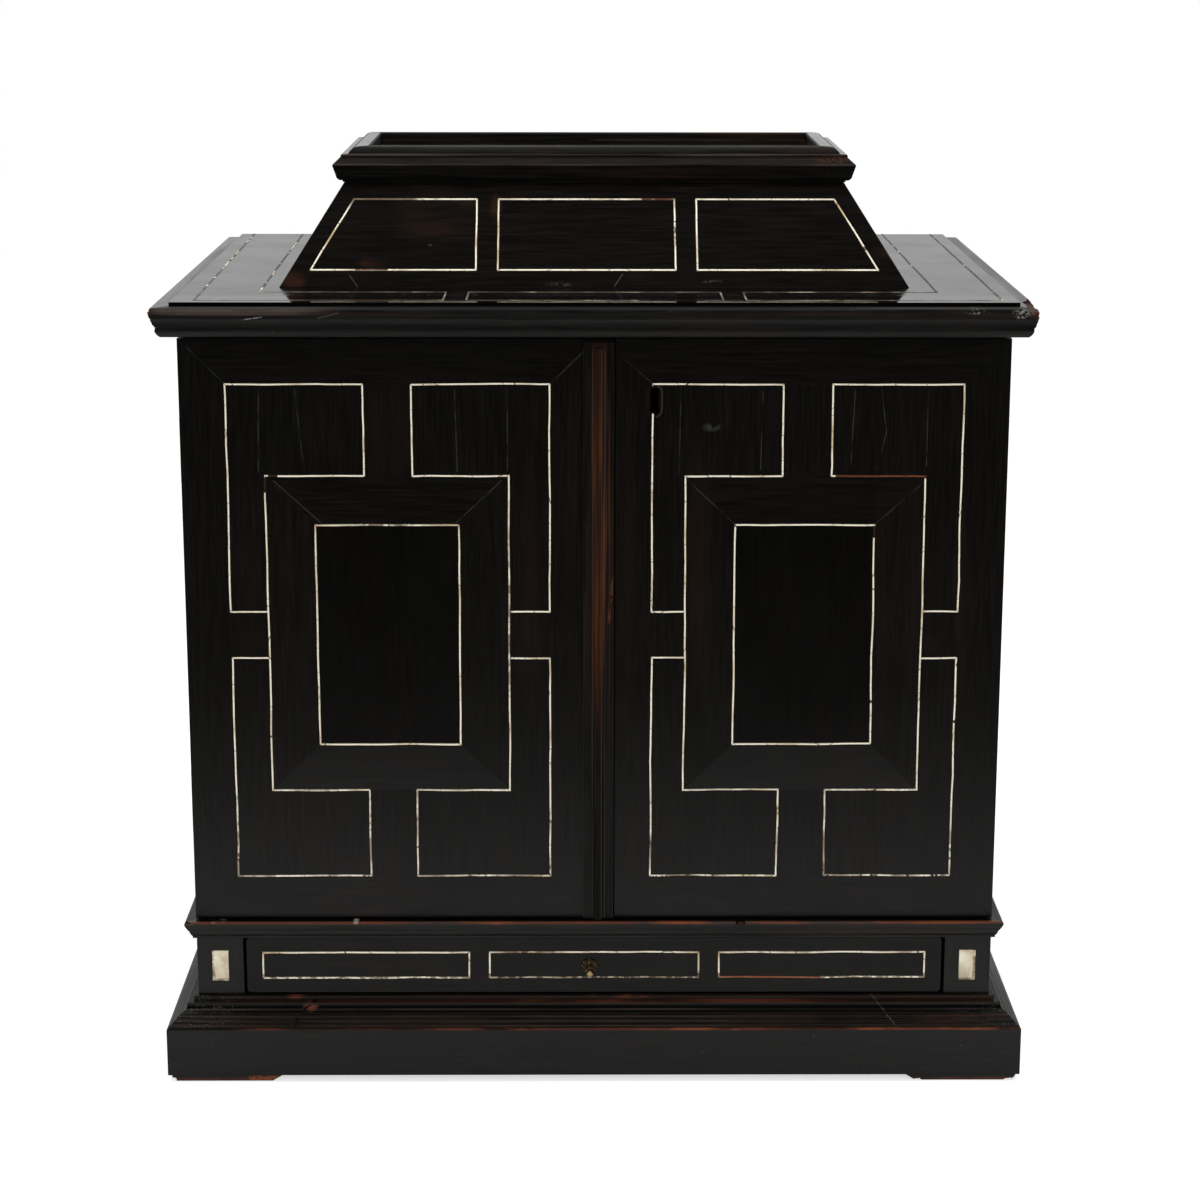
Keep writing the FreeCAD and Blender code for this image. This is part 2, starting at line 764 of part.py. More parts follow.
def astragal():
    """An upright moulding with a raised bead between two coves, and a mitred cap at its head."""
    right = meeting_offset
    left = right - astragal_width
    facing_edge = left_field_end + border_width
    centre = (left + right) / 2 - astragal_bead_shift
    half_bead = astragal_bead_width / 2
    outline = [(left, 0, 0), (facing_edge, 0, 0), (facing_edge, -facing_thickness, 0),
               (right, -facing_thickness, 0), (right, astragal_flat, 0),
               (centre + half_bead, astragal_flat, -astragal_cove_sag),
               (centre + half_bead, astragal_flat + astragal_shoulder, 0),
               (centre - half_bead, astragal_flat + astragal_shoulder,
                astragal_bead_rise - astragal_shoulder),
               (centre - half_bead, astragal_flat, 0),
               (left, astragal_flat, -astragal_cove_sag)]
    shaft_top = z_head - astragal_cap_height
    wire = bowed_wire(outline, lambda across, up: vec(across, y_face - up, z_door))
    shaft = Part.Face(wire).extrude(vec(0, 0, shaft_top - z_door))
    cap = box(left, right, y_face - astragal_flat, y_face, shaft_top, z_head)
    cap = cap.fuse(box(facing_edge, right, y_face, y_face + facing_thickness, shaft_top, z_head))
    slope = Part.Face(Part.makePolygon([vec(left, y_face, z_head),
                                        vec(left, y_face - astragal_flat, z_head),
                                        vec(left, y_face - astragal_flat, z_head - astragal_flat),
                                        vec(left, y_face, z_head)]))
    cap = cap.cut(slope.extrude(vec(astragal_width, 0, 0)))
    save("astragal", shaft.fuse(cap).removeSplitter())


def lock():
    """Lock case with its keyhole slot, its bolt, and the keeper on the left door that takes it."""
    x0 = meeting_offset + meeting_gap + lock_edge
    z = z_head - keyhole_drop
    y0 = y_face + door_thickness
    body = box(x0, x0 + lock_width, y0, y0 + lock_depth, z - lock_height / 2, z + lock_height / 2)
    y_bolt = y0 + (lock_depth - bolt_thickness) / 2
    z_bolt = z + bolt_rise
    x_bolt = meeting_offset + meeting_gap + bolt_inset
    keeper_right = meeting_offset - keeper_edge
    keeper_left = keeper_right - bolt_travel - keeper_wall
    half_slot = bolt_height / 2 + bolt_clearance
    room = box(keeper_left + keeper_wall, x0 + bolt_length + bolt_clearance, y_bolt - bolt_clearance,
               y_bolt + bolt_thickness + bolt_clearance, z_bolt - half_slot, z_bolt + half_slot)
    save("lock_case", cut_all(body, [room] + keyhole()))
    keeper = box(keeper_left, keeper_right, y0, y0 + lock_depth,
                 z_bolt - half_slot - keeper_wall, z_bolt + half_slot + keeper_wall)
    save("lock_keeper", keeper.cut(room))
    save("lock_bolt", box(x_bolt, x0 + bolt_length, y_bolt, y_bolt + bolt_thickness,
                          z_bolt - bolt_height / 2, z_bolt + bolt_height / 2))


def long_drawer():
    """Drawer in the frieze: front, box, stringing, rosette and drop."""
    half = half_width - frieze_block_width - drawer_side_gap
    low, high = z_frieze + drawer_foot_gap, z_mid - drawer_head_gap
    front = plate(rectangle(-half, half, low, high), -drawer_front_thickness, 0)
    corners = [edge for edge in front.Edges if edge.BoundBox.ZLength > drawer_corner_radius]
    front = front.makeFillet(drawer_corner_radius, corners)
    bone, grooves = inlay(drawer_strings(half, low, high), 0)
    save("base_drawer_front", stood_up([cut_all(front, grooves)], y_face))
    save("base_drawer_stringing", stood_up(bone, y_face))
    y0 = y_face + drawer_front_thickness
    y1 = y_back - back_thickness - drawer_back_gap
    foot = z_frieze + runner_gap
    top = high - drawer_side_drop
    inner = half - drawer_board
    save("base_drawer_box", [
        box(-half, -inner, y0, y1, foot, top),
        box(inner, half, y0, y1, foot, top),
        box(-inner, inner, y1 - drawer_board, y1, low + drawer_bottom_thickness, top),
        box(-inner, inner, y0, y1, low, low + drawer_bottom_thickness)])
    brass_pull((low + high) / 2 - pull_drop)


def drawer_strings(half, low, high):
    """Three panels of stringing along the drawer front."""
    bottom, top = low + drawer_string_bottom, high - drawer_string_top
    centre = drawer_centre_half
    end = half - drawer_string_inset
    quads = strips(rectangle(-centre, centre, bottom, top), True)
    for side in (-1, 1):
        near = side * (centre + drawer_string_gap)
        quads += strips([(near, bottom), (side * end, bottom), (side * end, top), (near, top)], True)
    return quads


def brass_pull(z):
    """A petalled rosette with two lugs and a pin, and a drop that hangs from the pin."""
    x = pull_offset
    rim = []
    for i in range(2 * rosette_petals):
        angle = math.pi * i / rosette_petals
        reach = rosette_radius if i % 2 == 0 else rosette_radius * rosette_notch_share
        rim.append((x + reach * math.cos(angle), z + reach * math.sin(angle)))
    disc = stood_up([plate(rim, 0, rosette_thickness)], y_face)[0]
    face = y_face - rosette_thickness
    y_pin = y_face - lug_reach
    for side in (-1, 1):
        inner = side * lug_gap
        edges = sorted((x + inner, x + inner + side * lug_thickness))
        disc = disc.fuse(box(edges[0], edges[1], y_pin, face, z - lug_height / 2, z + lug_height / 2))
        disc = disc.fuse(Part.makeCylinder(lug_height / 2, lug_thickness, vec(edges[0], y_pin, z), X_AXIS))
    pin = Part.makeCylinder(bail_wire, 2 * lug_gap, vec(x - lug_gap, y_pin, z), X_AXIS)
    save("drawer_rosette", disc.fuse(pin).removeSplitter())
    width = 2 * (lug_gap - swing_clearance)
    eye = Part.makeCylinder(bail_radius, width, vec(x - width / 2, y_pin, z), X_AXIS)
    drop = eye.fuse(pear(x, y_pin, z))
    bore = Part.makeCylinder(bail_wire + swing_clearance, width + 2 * overrun,
                             vec(x - width / 2 - overrun, y_pin, z), X_AXIS)
    save("drawer_drop", drop.cut(bore).removeSplitter())


def pear(x, y, z):
    """The turned body of the drop, hanging from the middle of its eye."""
    neck = drop_length * drop_neck_share
    waist = drop_length * drop_waist_share
    outline = [(0, 0), (drop_neck, 0), (drop_neck, neck), (drop_radius, waist),
               (drop_neck, drop_length), (0, drop_length)]
    return revolved(outline, vec(x, y, z), vec(0, 0, -1))


def revolved(outline, start, direction):
    """A solid turned about a line, from an outline of (radius, distance along the line)."""
    corners = [vec(radius, 0, along) for radius, along in outline]
    face = Part.Face(Part.makePolygon(corners + [corners[0]]))
    solid = face.revolve(ORIGIN, Z_AXIS, 4 * QUARTER_TURN).Solids[0]
    turn = FreeCAD.Rotation(Z_AXIS, direction)
    solid.Placement = FreeCAD.Placement(start, turn)
    return solid


def nest_rows():
    """Lower and upper edges of the four drawer spaces, from the top down."""
    clear = z_ceiling - z_case - (len(nest_row_shares) - 1) * nest_board
    rows = []
    top = z_ceiling
    for share in nest_row_shares:
        bottom = top - clear * share
        rows.append((bottom, top))
        top = bottom - nest_board
    return rows


def nest():
    """Divider, shelves and eight small drawers, each with its knob."""
    y0 = y_case + nest_recess
    y1 = y_back - back_thickness
    half_stile = nest_stile_width / 2
    save("nest_divider", [
        box(-half_stile, half_stile, y0, y0 + nest_stile_depth, z_case, z_ceiling),
        box(-half_stile, -half_stile + nest_board, y0 + nest_stile_depth, y1, z_case, z_ceiling),
        box(half_stile - nest_board, half_stile, y0 + nest_stile_depth, y1, z_case, z_ceiling)])
    rows = nest_rows()
    shelves = []
    for bottom, top in rows[:-1]:
        shelves.append(box(-inner_half, -half_stile, y0, y1, bottom - nest_board, bottom))
        shelves.append(box(half_stile, inner_half, y0, y1, bottom - nest_board, bottom))
    save("nest_shelves", shelves)
    for number, (bottom, top) in enumerate(rows, start=1):
        save("nest_drawer_left_%d" % number, small_drawer(-inner_half, -half_stile, bottom, top))
        save("nest_drawer_right_%d" % number, small_drawer(half_stile, inner_half, bottom, top))


def small_drawer(left, right, bottom, top):
    """One drawer of the nest: front, two sides, back, bottom and turned knob."""
    x0, x1 = left + nest_gap, right - nest_gap
    y0 = y_case + nest_recess
    y_box = y0 + nest_drawer_front
    y1 = y_back - back_thickness - nest_back_gap
    z0, z1 = bottom + nest_gap, top - nest_gap
    z_side = bottom + runner_gap + (top - bottom) * nest_side_share
    inner0, inner1 = x0 + nest_drawer_board, x1 - nest_drawer_board
    z_bottom = z0 + nest_drawer_bottom
    return [
        box(x0, x1, y0, y_box, z0, z1),
        box(x0, inner0, y_box, y1, bottom + runner_gap, z_side),
        box(inner1, x1, y_box, y1, bottom + runner_gap, z_side),
        box(inner0, inner1, y1 - nest_drawer_board, y1, z_bottom, z_side),
        box(inner0, inner1, y_box, y1, z0, z_bottom),
        knob((left + right) / 2, y0, (z0 + z1) / 2)]


def knob(x, y, z):
    """A flared knob that stands out to the front."""
    outline = [(0, 0), (knob_neck_radius, 0), (knob_radius, knob_length), (0, knob_length)]
    return revolved(outline, vec(x, y, z), vec(0, -1, 0))


def case_hinges():
    """Leaves on the case, with their outer knuckles and pins."""
    halves = []
    for side in (-1, 1):
        for z in hinge_heights():
            halves += hinge_half(side, z, on_door=False)
    save("case_hinges", halves)


os.makedirs("parts", exist_ok=True)
plinth()
frieze()
case_shell()
cornice()
coffer()
door("left", -half_width, meeting_offset, left_field_start, left_field_end,
     left_field_start + left_frame_outer_gap, left_field_end - left_frame_inner_gap)
door("right", meeting_offset + meeting_gap, half_width, right_field_start, right_field_end,
     right_field_start + right_frame_inner_gap, right_field_end - right_frame_outer_gap)
astragal()
lock()
long_drawer()
nest()
case_hinges()
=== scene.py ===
import contextlib
import functools
import json
import math

import bpy
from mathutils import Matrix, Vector


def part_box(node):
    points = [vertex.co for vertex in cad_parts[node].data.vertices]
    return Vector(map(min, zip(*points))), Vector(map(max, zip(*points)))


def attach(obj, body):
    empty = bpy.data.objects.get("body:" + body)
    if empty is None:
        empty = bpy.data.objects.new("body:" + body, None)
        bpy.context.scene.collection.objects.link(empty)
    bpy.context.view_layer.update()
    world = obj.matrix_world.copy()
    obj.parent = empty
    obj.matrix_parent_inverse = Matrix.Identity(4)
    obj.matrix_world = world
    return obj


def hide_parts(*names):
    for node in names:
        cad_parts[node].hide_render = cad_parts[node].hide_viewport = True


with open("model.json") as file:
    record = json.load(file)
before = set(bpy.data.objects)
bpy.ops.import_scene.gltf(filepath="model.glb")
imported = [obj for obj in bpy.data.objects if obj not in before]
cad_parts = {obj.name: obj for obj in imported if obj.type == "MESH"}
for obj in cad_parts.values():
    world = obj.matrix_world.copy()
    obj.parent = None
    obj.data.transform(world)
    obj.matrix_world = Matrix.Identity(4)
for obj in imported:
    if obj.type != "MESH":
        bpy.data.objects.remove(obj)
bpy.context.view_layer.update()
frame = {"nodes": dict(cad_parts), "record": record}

bl_info = {
    "name": "Inlaid Table Cabinet",
    "version": (1, 0, 0),
    "blender": (4, 5, 0),
    "location": "3D View > Sidebar > Cabinet",
    "description": "Dresses an ebonised table cabinet, inlaid with bone lines, around its packed parts",
    "category": "Object",
}

MM = 0.001
BODY_OF = {node: body for body, nodes in frame["record"]["behaviour"]["bodies"].items() for node in nodes}


def box_of(node):
    """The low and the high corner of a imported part's box, in millimetres."""
    return [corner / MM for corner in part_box(node)]


# Planes of the cabinet in millimetres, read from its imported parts
Y_FACE = box_of("door_left_border")[0].y
Y_CASE = box_of("case_side_left")[0].y
Z_PLINTH = box_of("plinth_front")[1].z
Z_CASE = box_of("mid_moulding")[1].z
Z_CORNICE = box_of("cornice_moulding")[1].z

# The keyhole in the right door: the middle of its slot (x, z) and half the slot's straight part, in mm
KEYHOLE = (40.9, 491.4)
KEYHOLE_HALF = 5.95

# The middle of the astragal's bead and half its width, in mm
BEAD = 2.4
BEAD_HALF = 3.2

# How far behind the doors' faces the drawer guides lose their stain and the small drawers' fronts end, in mm
GUIDE_STAIN = 22.0
NEST_JOINT = 47.9

# Dovetails, in mm: how far they run into a long and a small drawer's front, how far they keep from the
# ends of the joint and how thick they are, and how far a small drawer's sides end below its front
LONG_LAP = 11
SHORT_LAP = 7
TAIL_EDGE = 3
TAIL_DEPTH = 0.1
NEST_SIDE_DROP = 17

# The share of its space that a dovetail fills at the joint, and how much it spreads
TAIL_SHARE = 0.55
TAIL_SPREAD = 1.4

# The hinges, in mm: how far in from a leaf's outer edge its screws stand, a leaf's height, and the
# heights of its screws over its foot
HINGE_INSET = 10
HINGE_LEAF = 46
HINGE_SCREWS = (7, 23, 39)

# How far the lock's screws stand in from the edges of its case, in mm, and how far each screw is
# turned past the one before it
LOCK_INSET = 5
SCREW_TURN = 1.1

# Directions
OUT_FRONT, OUT_BACK, UP = Vector((0, -1, 0)), Vector((0, 1, 0)), Vector((0, 0, 1))

# Points nearer than this are welded, faces that turn by less than this are one, and edges that turn
# by more than this are sharp
WELD = 0.001 * MM
FLAT = math.radians(0.5)
SHARP = math.radians(35)

# The waver of the bone lines: its edges are longer than this, in this many parts, and stray like
# clouds of this size in metres, and the strips stand this proud
WAVER_EDGE = 8 * MM
WAVER_CUTS = 14
WAVER_CLOUDS = 0.035
WAVER_LIFT = 0.03 * MM

# The eased edges of the brass fittings
BRASS_EDGE = {"arris": 0.2 * MM, "shortest": 2 * MM}

# How far the bone line on a small drawer stands in from the edges of its front, in mm
NEST_LINE_INSET = 5


def measure(name, description, default):
    """A length that is given in millimetres."""
    return bpy.props.FloatProperty(name=name, description=description, default=default * MM, min=0.0,
                                   unit="LENGTH")


def shade(name, description, default):
    """A colour of which a finish is made."""
    return bpy.props.FloatVectorProperty(name=name, description=description, default=default,
                                         subtype="COLOR", min=0.0, max=1.0)


class CabinetSizes(bpy.types.PropertyGroup):
    """Sizes that a maker would change"""
    board_arris: measure("Board arris", "Width of the eased edges of the boards", 0.5)
    top_arris: measure("Top arris", "Width of the rounded edges of the top board", 0.9)
    moulding_arris: measure("Moulding arris", "Width of the eased edges of the mouldings", 0.3)
    facing_arris: measure("Facing arris", "Width of the eased edges of the doors' facings", 0.15)
    bone_edge: measure("Bone edge", "Width of the stained border of each bone strip", 0.16)
    line_width: measure("Nest line", "Width of the bone line on the small drawers", 1.0)
    screw_radius: measure("Screw radius", "Radius of the screw heads in the brass leaves", 1.7)


class CabinetColours(bpy.types.PropertyGroup):
    """Colours of the finishes"""
    ebony: shade("Ebony", "Near-black veneer of the doors and boards", (0.0026, 0.0023, 0.0018))
    ebony_streak: shade("Ebony streak", "Paler streaks along the veneer's grain",
                        (0.0062, 0.0054, 0.0044))
    stain: shade("Black stain", "Greyish black stain on the mouldings", (0.0080, 0.0074, 0.0062))
    # Black for dirt in joints and cracks, and also painted shade in the plinth's cove, on the ledge before the
    # doors and in and behind the keyhole
    dirt_and_shade: shade("Dirt", "Black dirt in joints, holes and gaps", (0.0012, 0.0010, 0.0008))
    tint: shade("Brown tint", "Reddish brown where the black stain has thinned", (0.021, 0.0085, 0.0045))
    worn: shade("Worn wood", "Bare reddish wood on worn edges", (0.10, 0.027, 0.012))
    orange: shade("Orange wood", "Bright bare wood on the most worn edges", (0.24, 0.060, 0.016))
    haze: shade("Haze", "Grey haze on fine cracks and joints in the veneer", (0.034, 0.033, 0.029))
    # Greyish brown for rubbed edges, also laid as a painted highlight along the crests of the plinth's reeds
    rubbed: shade("Rubbed wood", "Greyish brown wood on handled edges", (0.062, 0.042, 0.035))
    chalk: shade("Chalky scratch", "Pale scratches and specks of old filler", (0.30, 0.29, 0.26))
    bone: shade("Bone", "Clean bone of the lines and plaques", (0.93, 0.87, 0.70))
    bone_stain: shade("Bone stain", "Tan stain in the bone", (0.44, 0.29, 0.12))
    glue: shade("Old glue", "Brown glue and dirt along the edges of the bone", (0.075, 0.036, 0.013))
    brass: shade("Brass", "Aged brass of the pull, lock and hinges", (0.52, 0.36, 0.17))
    tarnish: shade("Tarnish", "Dark brown tarnish in the hollows of the brass", (0.045, 0.026, 0.012))
    cedar: shade("Cedar", "Oiled reddish wood inside the case", (0.125, 0.048, 0.021))
    cedar_vein: shade("Cedar vein", "Dark veins of the wood inside the case", (0.034, 0.013, 0.007))
    drawer_wood: shade("Drawer wood", "Plain wood of the drawers' sides and bottoms",
                       (0.19, 0.098, 0.042))


def colour(name):
    """A colour of the cabinet's settings, with its alpha."""
    return (*getattr(bpy.context.scene.cabinet_colours, name), 1.0)


def feed(tree, socket, value):
    """Links a socket to another one, or gives it a value."""
    if isinstance(value, bpy.types.NodeSocket):
        tree.links.new(value, socket)
    else:
        socket.default_value = value


def add_node(tree, kind, sockets=None, **settings):
    """A new node, with its settings and what its sockets are fed."""
    node = tree.nodes.new(kind)
    for key, value in settings.items():
        setattr(node, key, value)
    for key, value in (sockets or {}).items():
        feed(tree, node.inputs[key], value)
    return node


class Finish:
    """The nodes of one material, which reads Object coordinates, and short calls that add them.

    Places and lengths are in millimetres, but the scale of noise is for metres. The base colour is
    built up in layers.
    """

    def __init__(self, name, **sockets):
        self.material = bpy.data.materials.new(name)
        self.material.use_nodes = True
        self.tree = self.material.node_tree
        self.shader = self.tree.nodes["Principled BSDF"]
        self.where = self.add("ShaderNodeTexCoord").outputs["Object"]
        self.place = self.add("ShaderNodeVectorMath", {0: self.where, "Scale": 1 / MM},
                              operation="SCALE").outputs[0]
        self.split = self.add("ShaderNodeSeparateXYZ", {"Vector": self.place})
        self.base = self.rough = None
        self.set(**sockets)

    def set(self, **sockets):
        """Feeds the shader's sockets, named with _ for a space."""
        for name, value in sockets.items():
            feed(self.tree, self.shader.inputs[name.replace("_", " ")], value)

    def add(self, kind, sockets=None, **settings):
        return add_node(self.tree, kind, sockets, **settings)

    def axis(self, letter):
        return self.split.outputs["XYZ".index(letter)]

    def noise(self, scale, detail=3.0, stretch=1.0, grain="X", shift=(0, 0, 0)):
        """Noise about 0.5. A stretch under 1 draws it out along the grain."""
        scales = [stretch if letter == grain else 1 for letter in "XYZ"]
        spot = self.add("ShaderNodeMapping", {"Vector": self.where, "Scale": scales, "Location": shift})
        return self.add("ShaderNodeTexNoise", {"Vector": spot.outputs[0], "Scale": scale,
                                               "Detail": detail}).outputs["Fac"]

    def ramp(self, value, low, high, start=0.0, end=1.0):
        """Goes from start to end as a value goes from low to high."""
        return self.add("ShaderNodeMapRange", {"Value": value, "From Min": low, "From Max": high,
                                               "To Min": start, "To Max": end},
                        interpolation_type="SMOOTHSTEP").outputs["Result"]

    def patchy(self, scale, detail, low, high, start=0.0, end=1.0, **options):
        """Patches of noise: from start to end as the noise goes from low to high."""
        return self.ramp(self.noise(scale, detail, **options), low, high, start, end)

    def between(self, value, low, high, soft):
        """1 between two values, and 0 a soft length outside them."""
        return self.times(self.ramp(value, low - soft, low), self.ramp(value, high + soft, high))

    def maths(self, operation, a, b):
        return self.add("ShaderNodeMath", {0: a, 1: b}, operation=operation).outputs[0]

    def vectors(self, operation, a, b):
        return self.add("ShaderNodeVectorMath", {0: a, 1: b}, operation=operation)

    def dot(self, place, direction):
        """How far a point lies from a place, measured along a direction."""
        away = self.vectors("SUBTRACT", self.place, place).outputs[0]
        return self.vectors("DOT_PRODUCT", away, direction).outputs["Value"]

    def lift(self, pair, on_top):
        """A pair of numbers as a place: (x, z) on a front, (x, y) on a top."""
        return Vector((pair[0], pair[1], 0)) if on_top else Vector((pair[0], 0, pair[1]))

    def stroke(self, start, end, width, soft, ragged=0.0, on_top=False):
        """1 on a straight mark, 0 off it. A ragged one is worn away where noise is under that value."""
        start, end = self.lift(start, on_top), self.lift(end, on_top)
        along = (end - start).normalized()
        across = along.cross(Vector((0, 0, 1)) if on_top else Vector((0, 1, 0)))
        mark = self.times(self.between(self.dot(start, along), 0.0, (end - start).length, soft),
                          self.between(self.dot(start, across), -width / 2, width / 2, soft))
        if ragged:
            mark = self.times(mark, self.patchy(420, 4, ragged, ragged + 0.14))
        return mark

    def spot(self, place, reach, on_top=False):
        """1 in the middle of a soft oval, 0 outside its reach."""
        away = self.vectors("SUBTRACT", self.place, self.lift(place, on_top)).outputs[0]
        shares = self.vectors("MULTIPLY", away, self.lift([1 / length for length in reach], on_top))
        far = self.add("ShaderNodeVectorMath", {0: shares.outputs[0]}, operation="LENGTH").outputs["Value"]
        return self.ramp(far, 1.0, 0.2)

    def strokes(self, *rows):
        return self.most(*(self.stroke(*row) for row in rows))

    def spots(self, *rows):
        return self.most(*(self.spot(*row) for row in rows))

    def crack(self, scale, width, level=0.5, **options):
        """1 on thin wandering lines, where noise passes a level."""
        return self.between(self.noise(scale, **options), level - width, level + width, width)

    def crest_highlight(self):
        """1 along the line where a rounded surface looks up by about 40 degrees: the band of a painted
        highlight.
        """
        normal = self.add("ShaderNodeNewGeometry").outputs["Normal"]
        facing = self.add("ShaderNodeSeparateXYZ", {"Vector": normal})
        return self.between(facing.outputs["Z"], 0.6, 0.72, 0.05)

    def times(self, *shares):
        return functools.reduce(lambda one, two: self.maths("MULTIPLY", one, two), shares)

    def most(self, *shares):
        return functools.reduce(lambda one, two: self.maths("MAXIMUM", one, two), shares)

    def mix(self, share, a, b):
        return self.add("ShaderNodeMix", {0: share, 6: a, 7: b}, data_type="RGBA").outputs[2]

    def ground(self, share, one, two):
        """Starts the base colour, which goes from one colour to another with a share."""
        self.base = self.mix(share, colour(one), colour(two))

    def lay(self, tone, *shares):
        """Lays a colour over the base, by the product of the shares."""
        self.base = self.mix(self.times(*shares), self.base, colour(tone))

    def bump(self, *layers):
        """Raises the surface by layers of (height from 0 to 1, its length)."""
        normal = None
        for height, distance in layers:
            under = {} if normal is None else {"Normal": normal}
            node = self.add("ShaderNodeBump", {"Height": height, "Distance": distance * MM, **under})
            normal = node.outputs["Normal"]
        self.set(Normal=normal)

    def done(self, *layers, **sockets):
        """Feeds the base colour, the other sockets and the bump layers, and hands over the material."""
        self.set(Base_Color=self.base, **sockets)
        self.bump(*layers)
        return self.material


def ebony(name, grain, marks=None, shine=0.26, gloss=0.3, fine=0.015):
    """Satin near-black veneer with streaks along its grain, thin brown patches and a rubbed sheen."""
    look = Finish(name, Specular_IOR_Level=gloss)
    streaks = look.patchy(700, 4, 0.35, 0.75, stretch=0.04, grain=grain)
    look.ground(streaks, "ebony", "ebony_streak")
    look.lay("tint", look.patchy(9, 4, 0.5, 0.72, 0.0, 0.25), streaks)
    look.rough = look.patchy(20, 3, 0.25, 0.75, shine, shine + 0.07)
    if marks:
        marks(look)
    return look.done((look.noise(24, 2), 0.1), (look.noise(1400, 3, 0.04, grain), fine),
                     Roughness=look.rough)


def ebonised(name, grain, marks=None, shine=0.26, gloss=0.3):
    """Stained moulding wood, a little greyer than the veneer and rubbed unevenly along its length."""
    look = Finish(name, Specular_IOR_Level=gloss)
    streaks = look.noise(520, 4, 0.04, grain)
    dents = look.patchy(210, 5, 0.68, 0.76)
    look.ground(look.ramp(streaks, 0.3, 0.7), "ebony", "stain")
    look.lay("tint", look.patchy(40, 5, 0.52, 0.76, 0.0, 0.6, stretch=0.12, grain=grain))
    look.lay("rubbed", dents, 0.25)
    if marks:
        marks(look)
    uneven = look.patchy(60, 4, 0.3, 0.7, shine, shine + 0.14, stretch=0.12, grain=grain)
    return look.done((look.noise(180, 4, 0.12, grain), 0.05), (look.noise(900, 2, 0.006, grain), 0.08),
                     (streaks, 0.02), (dents, 0.1), Roughness=uneven)


def worn_arris(name, tone, least):
    """An edge rubbed through in places: bare wood shows where the noise is over a least value."""
    look = Finish(name, Specular_IOR_Level=0.35)
    rubbed = look.patchy(30, 6, least, least + 0.14)
    bare = look.mix(look.noise(300, 3), colour(tone), colour("tint"))
    look.base = look.mix(rubbed, colour("ebony_streak"), bare)
    return look.done((look.noise(260, 4), 0.08), Roughness=look.ramp(rubbed, 0.0, 1.0, 0.34, 0.55))


def raw_wood(name):
    """Broken wood, brown and fibrous, where a corner has chipped away."""
    look = Finish(name, Specular_IOR_Level=0.2)
    fibres = look.noise(260, 5, 0.04, "Y")
    look.ground(look.ramp(fibres, 0.3, 0.7), "tint", "worn")
    look.lay("stain", look.patchy(90, 4, 0.45, 0.7))
    return look.done((fibres, 0.3), (look.noise(900, 3), 0.1),
                     Roughness=look.ramp(fibres, 0.2, 0.8, 0.55, 0.75))


def plinth_wear(look):
    """Red wood along the plinth's top edge, brightest in a few stretches."""
    edge = look.times(look.between(look.axis("Z"), Z_PLINTH - 1.2, Z_PLINTH, 0.4),
                      look.ramp(look.axis("X"), -262, -238))
    strong = look.strokes(*(((start, 40.5), (end, 40.5), 3.0, 6.0) for start, end in (
        (-110, -82), (-60, -36), (-7, 18), (32, 118), (190, 284))))
    look.lay("worn", edge, look.patchy(46, 5, 0.4, 0.6, 0.1, 0.6, stretch=0.5))
    look.lay("worn", edge, strong, look.patchy(60, 5, 0.42, 0.6, stretch=0.4), 0.7)
    look.lay("orange", edge, strong, look.patchy(90, 4, 0.5, 0.62, stretch=0.4), 0.5)
    look.lay("chalk", look.patchy(600, 2, 0.74, 0.78), 0.2)


def pad_wear(look):
    """Red wood along the bottoms of the pads."""
    foot = look.times(look.ramp(look.axis("Z"), 3.4, 1.0),
                      look.patchy(60, 5, 0.3, 0.5, 0.3, 1.0, stretch=0.3))
    look.lay("tint", foot)
    look.lay("worn", foot, look.patchy(40, 5, 0.36, 0.58), 0.7)
    look.lay("orange", look.stroke((-246, 1.4), (-226, 1.4), 2.8, 2.0, 0.36), 0.8)


def reeded_wear(look):
    """Painted shade in the cove, painted highlights on the reeds' crests, red rubs, pale specks at the ends
    and cracks across the plinth's moulding.
    """
    height, across = look.axis("Z"), look.axis("X")
    look.lay("tint", look.patchy(40, 5, 0.44, 0.64, 0.0, 0.5, stretch=0.3))
    # Painted shade: the whole cove is laid black, as a hollow in shade
    cove_shade = look.between(height, 48.6, 53.4, 1.0)
    look.lay("dirt_and_shade", cove_shade)
    # Painted highlight: light lines along the reeds' crests, picked by the way the surface faces
    look.lay("rubbed", look.crest_highlight(), look.patchy(24, 5, 0.36, 0.6, 0.08, 0.45, stretch=0.3))
    inner = look.times(look.ramp(across, -205, -190), look.ramp(across, 250, 150))
    lip = look.times(look.between(height, 54.6, 55.8, 0.3), inner)
    look.lay("tint", lip)
    look.lay("worn", lip, look.patchy(40, 6, 0.5, 0.66, stretch=0.3), 0.7)
    step = look.times(look.ramp(height, 57.6, 58.2), inner)
    look.lay("tint", step, look.patchy(22, 4, 0.4, 0.6, stretch=0.3))
    rubs = (look.times(look.spot((-214, 58.5), (8, 3)), 0.9),
            look.times(look.spot((23, 58.5), (36, 3)), look.patchy(120, 4, 0.4, 0.6, stretch=0.3)),
            look.times(look.spot((-203, 52.5), (7, 4)), look.patchy(200, 4, 0.42, 0.55)))
    look.lay("worn", look.most(*rubs))
    left = look.times(look.patchy(900, 3, 0.6, 0.66), look.ramp(across, -235, -285))
    right = look.times(look.patchy(900, 3, 0.63, 0.68), look.ramp(across, 255, 290))
    look.lay("chalk", look.most(left, right), 0.3)
    look.lay("dirt_and_shade", look.strokes(((-198.6, 56.5), (-210.9, 48.4), 1.0, 0.3),
                                  ((-210.9, 48.4), (-213.1, 42), 0.8, 0.3)))
    look.lay("chalk", look.strokes(((-200.5, 56), (-212.0, 48.0), 0.4, 0.3, 0.5),
                                   ((198.8, 59), (209.9, 47.1), 0.4, 0.3, 0.4),
                                   ((209.9, 47.1), (216.5, 41), 0.4, 0.3, 0.4)), 0.16)


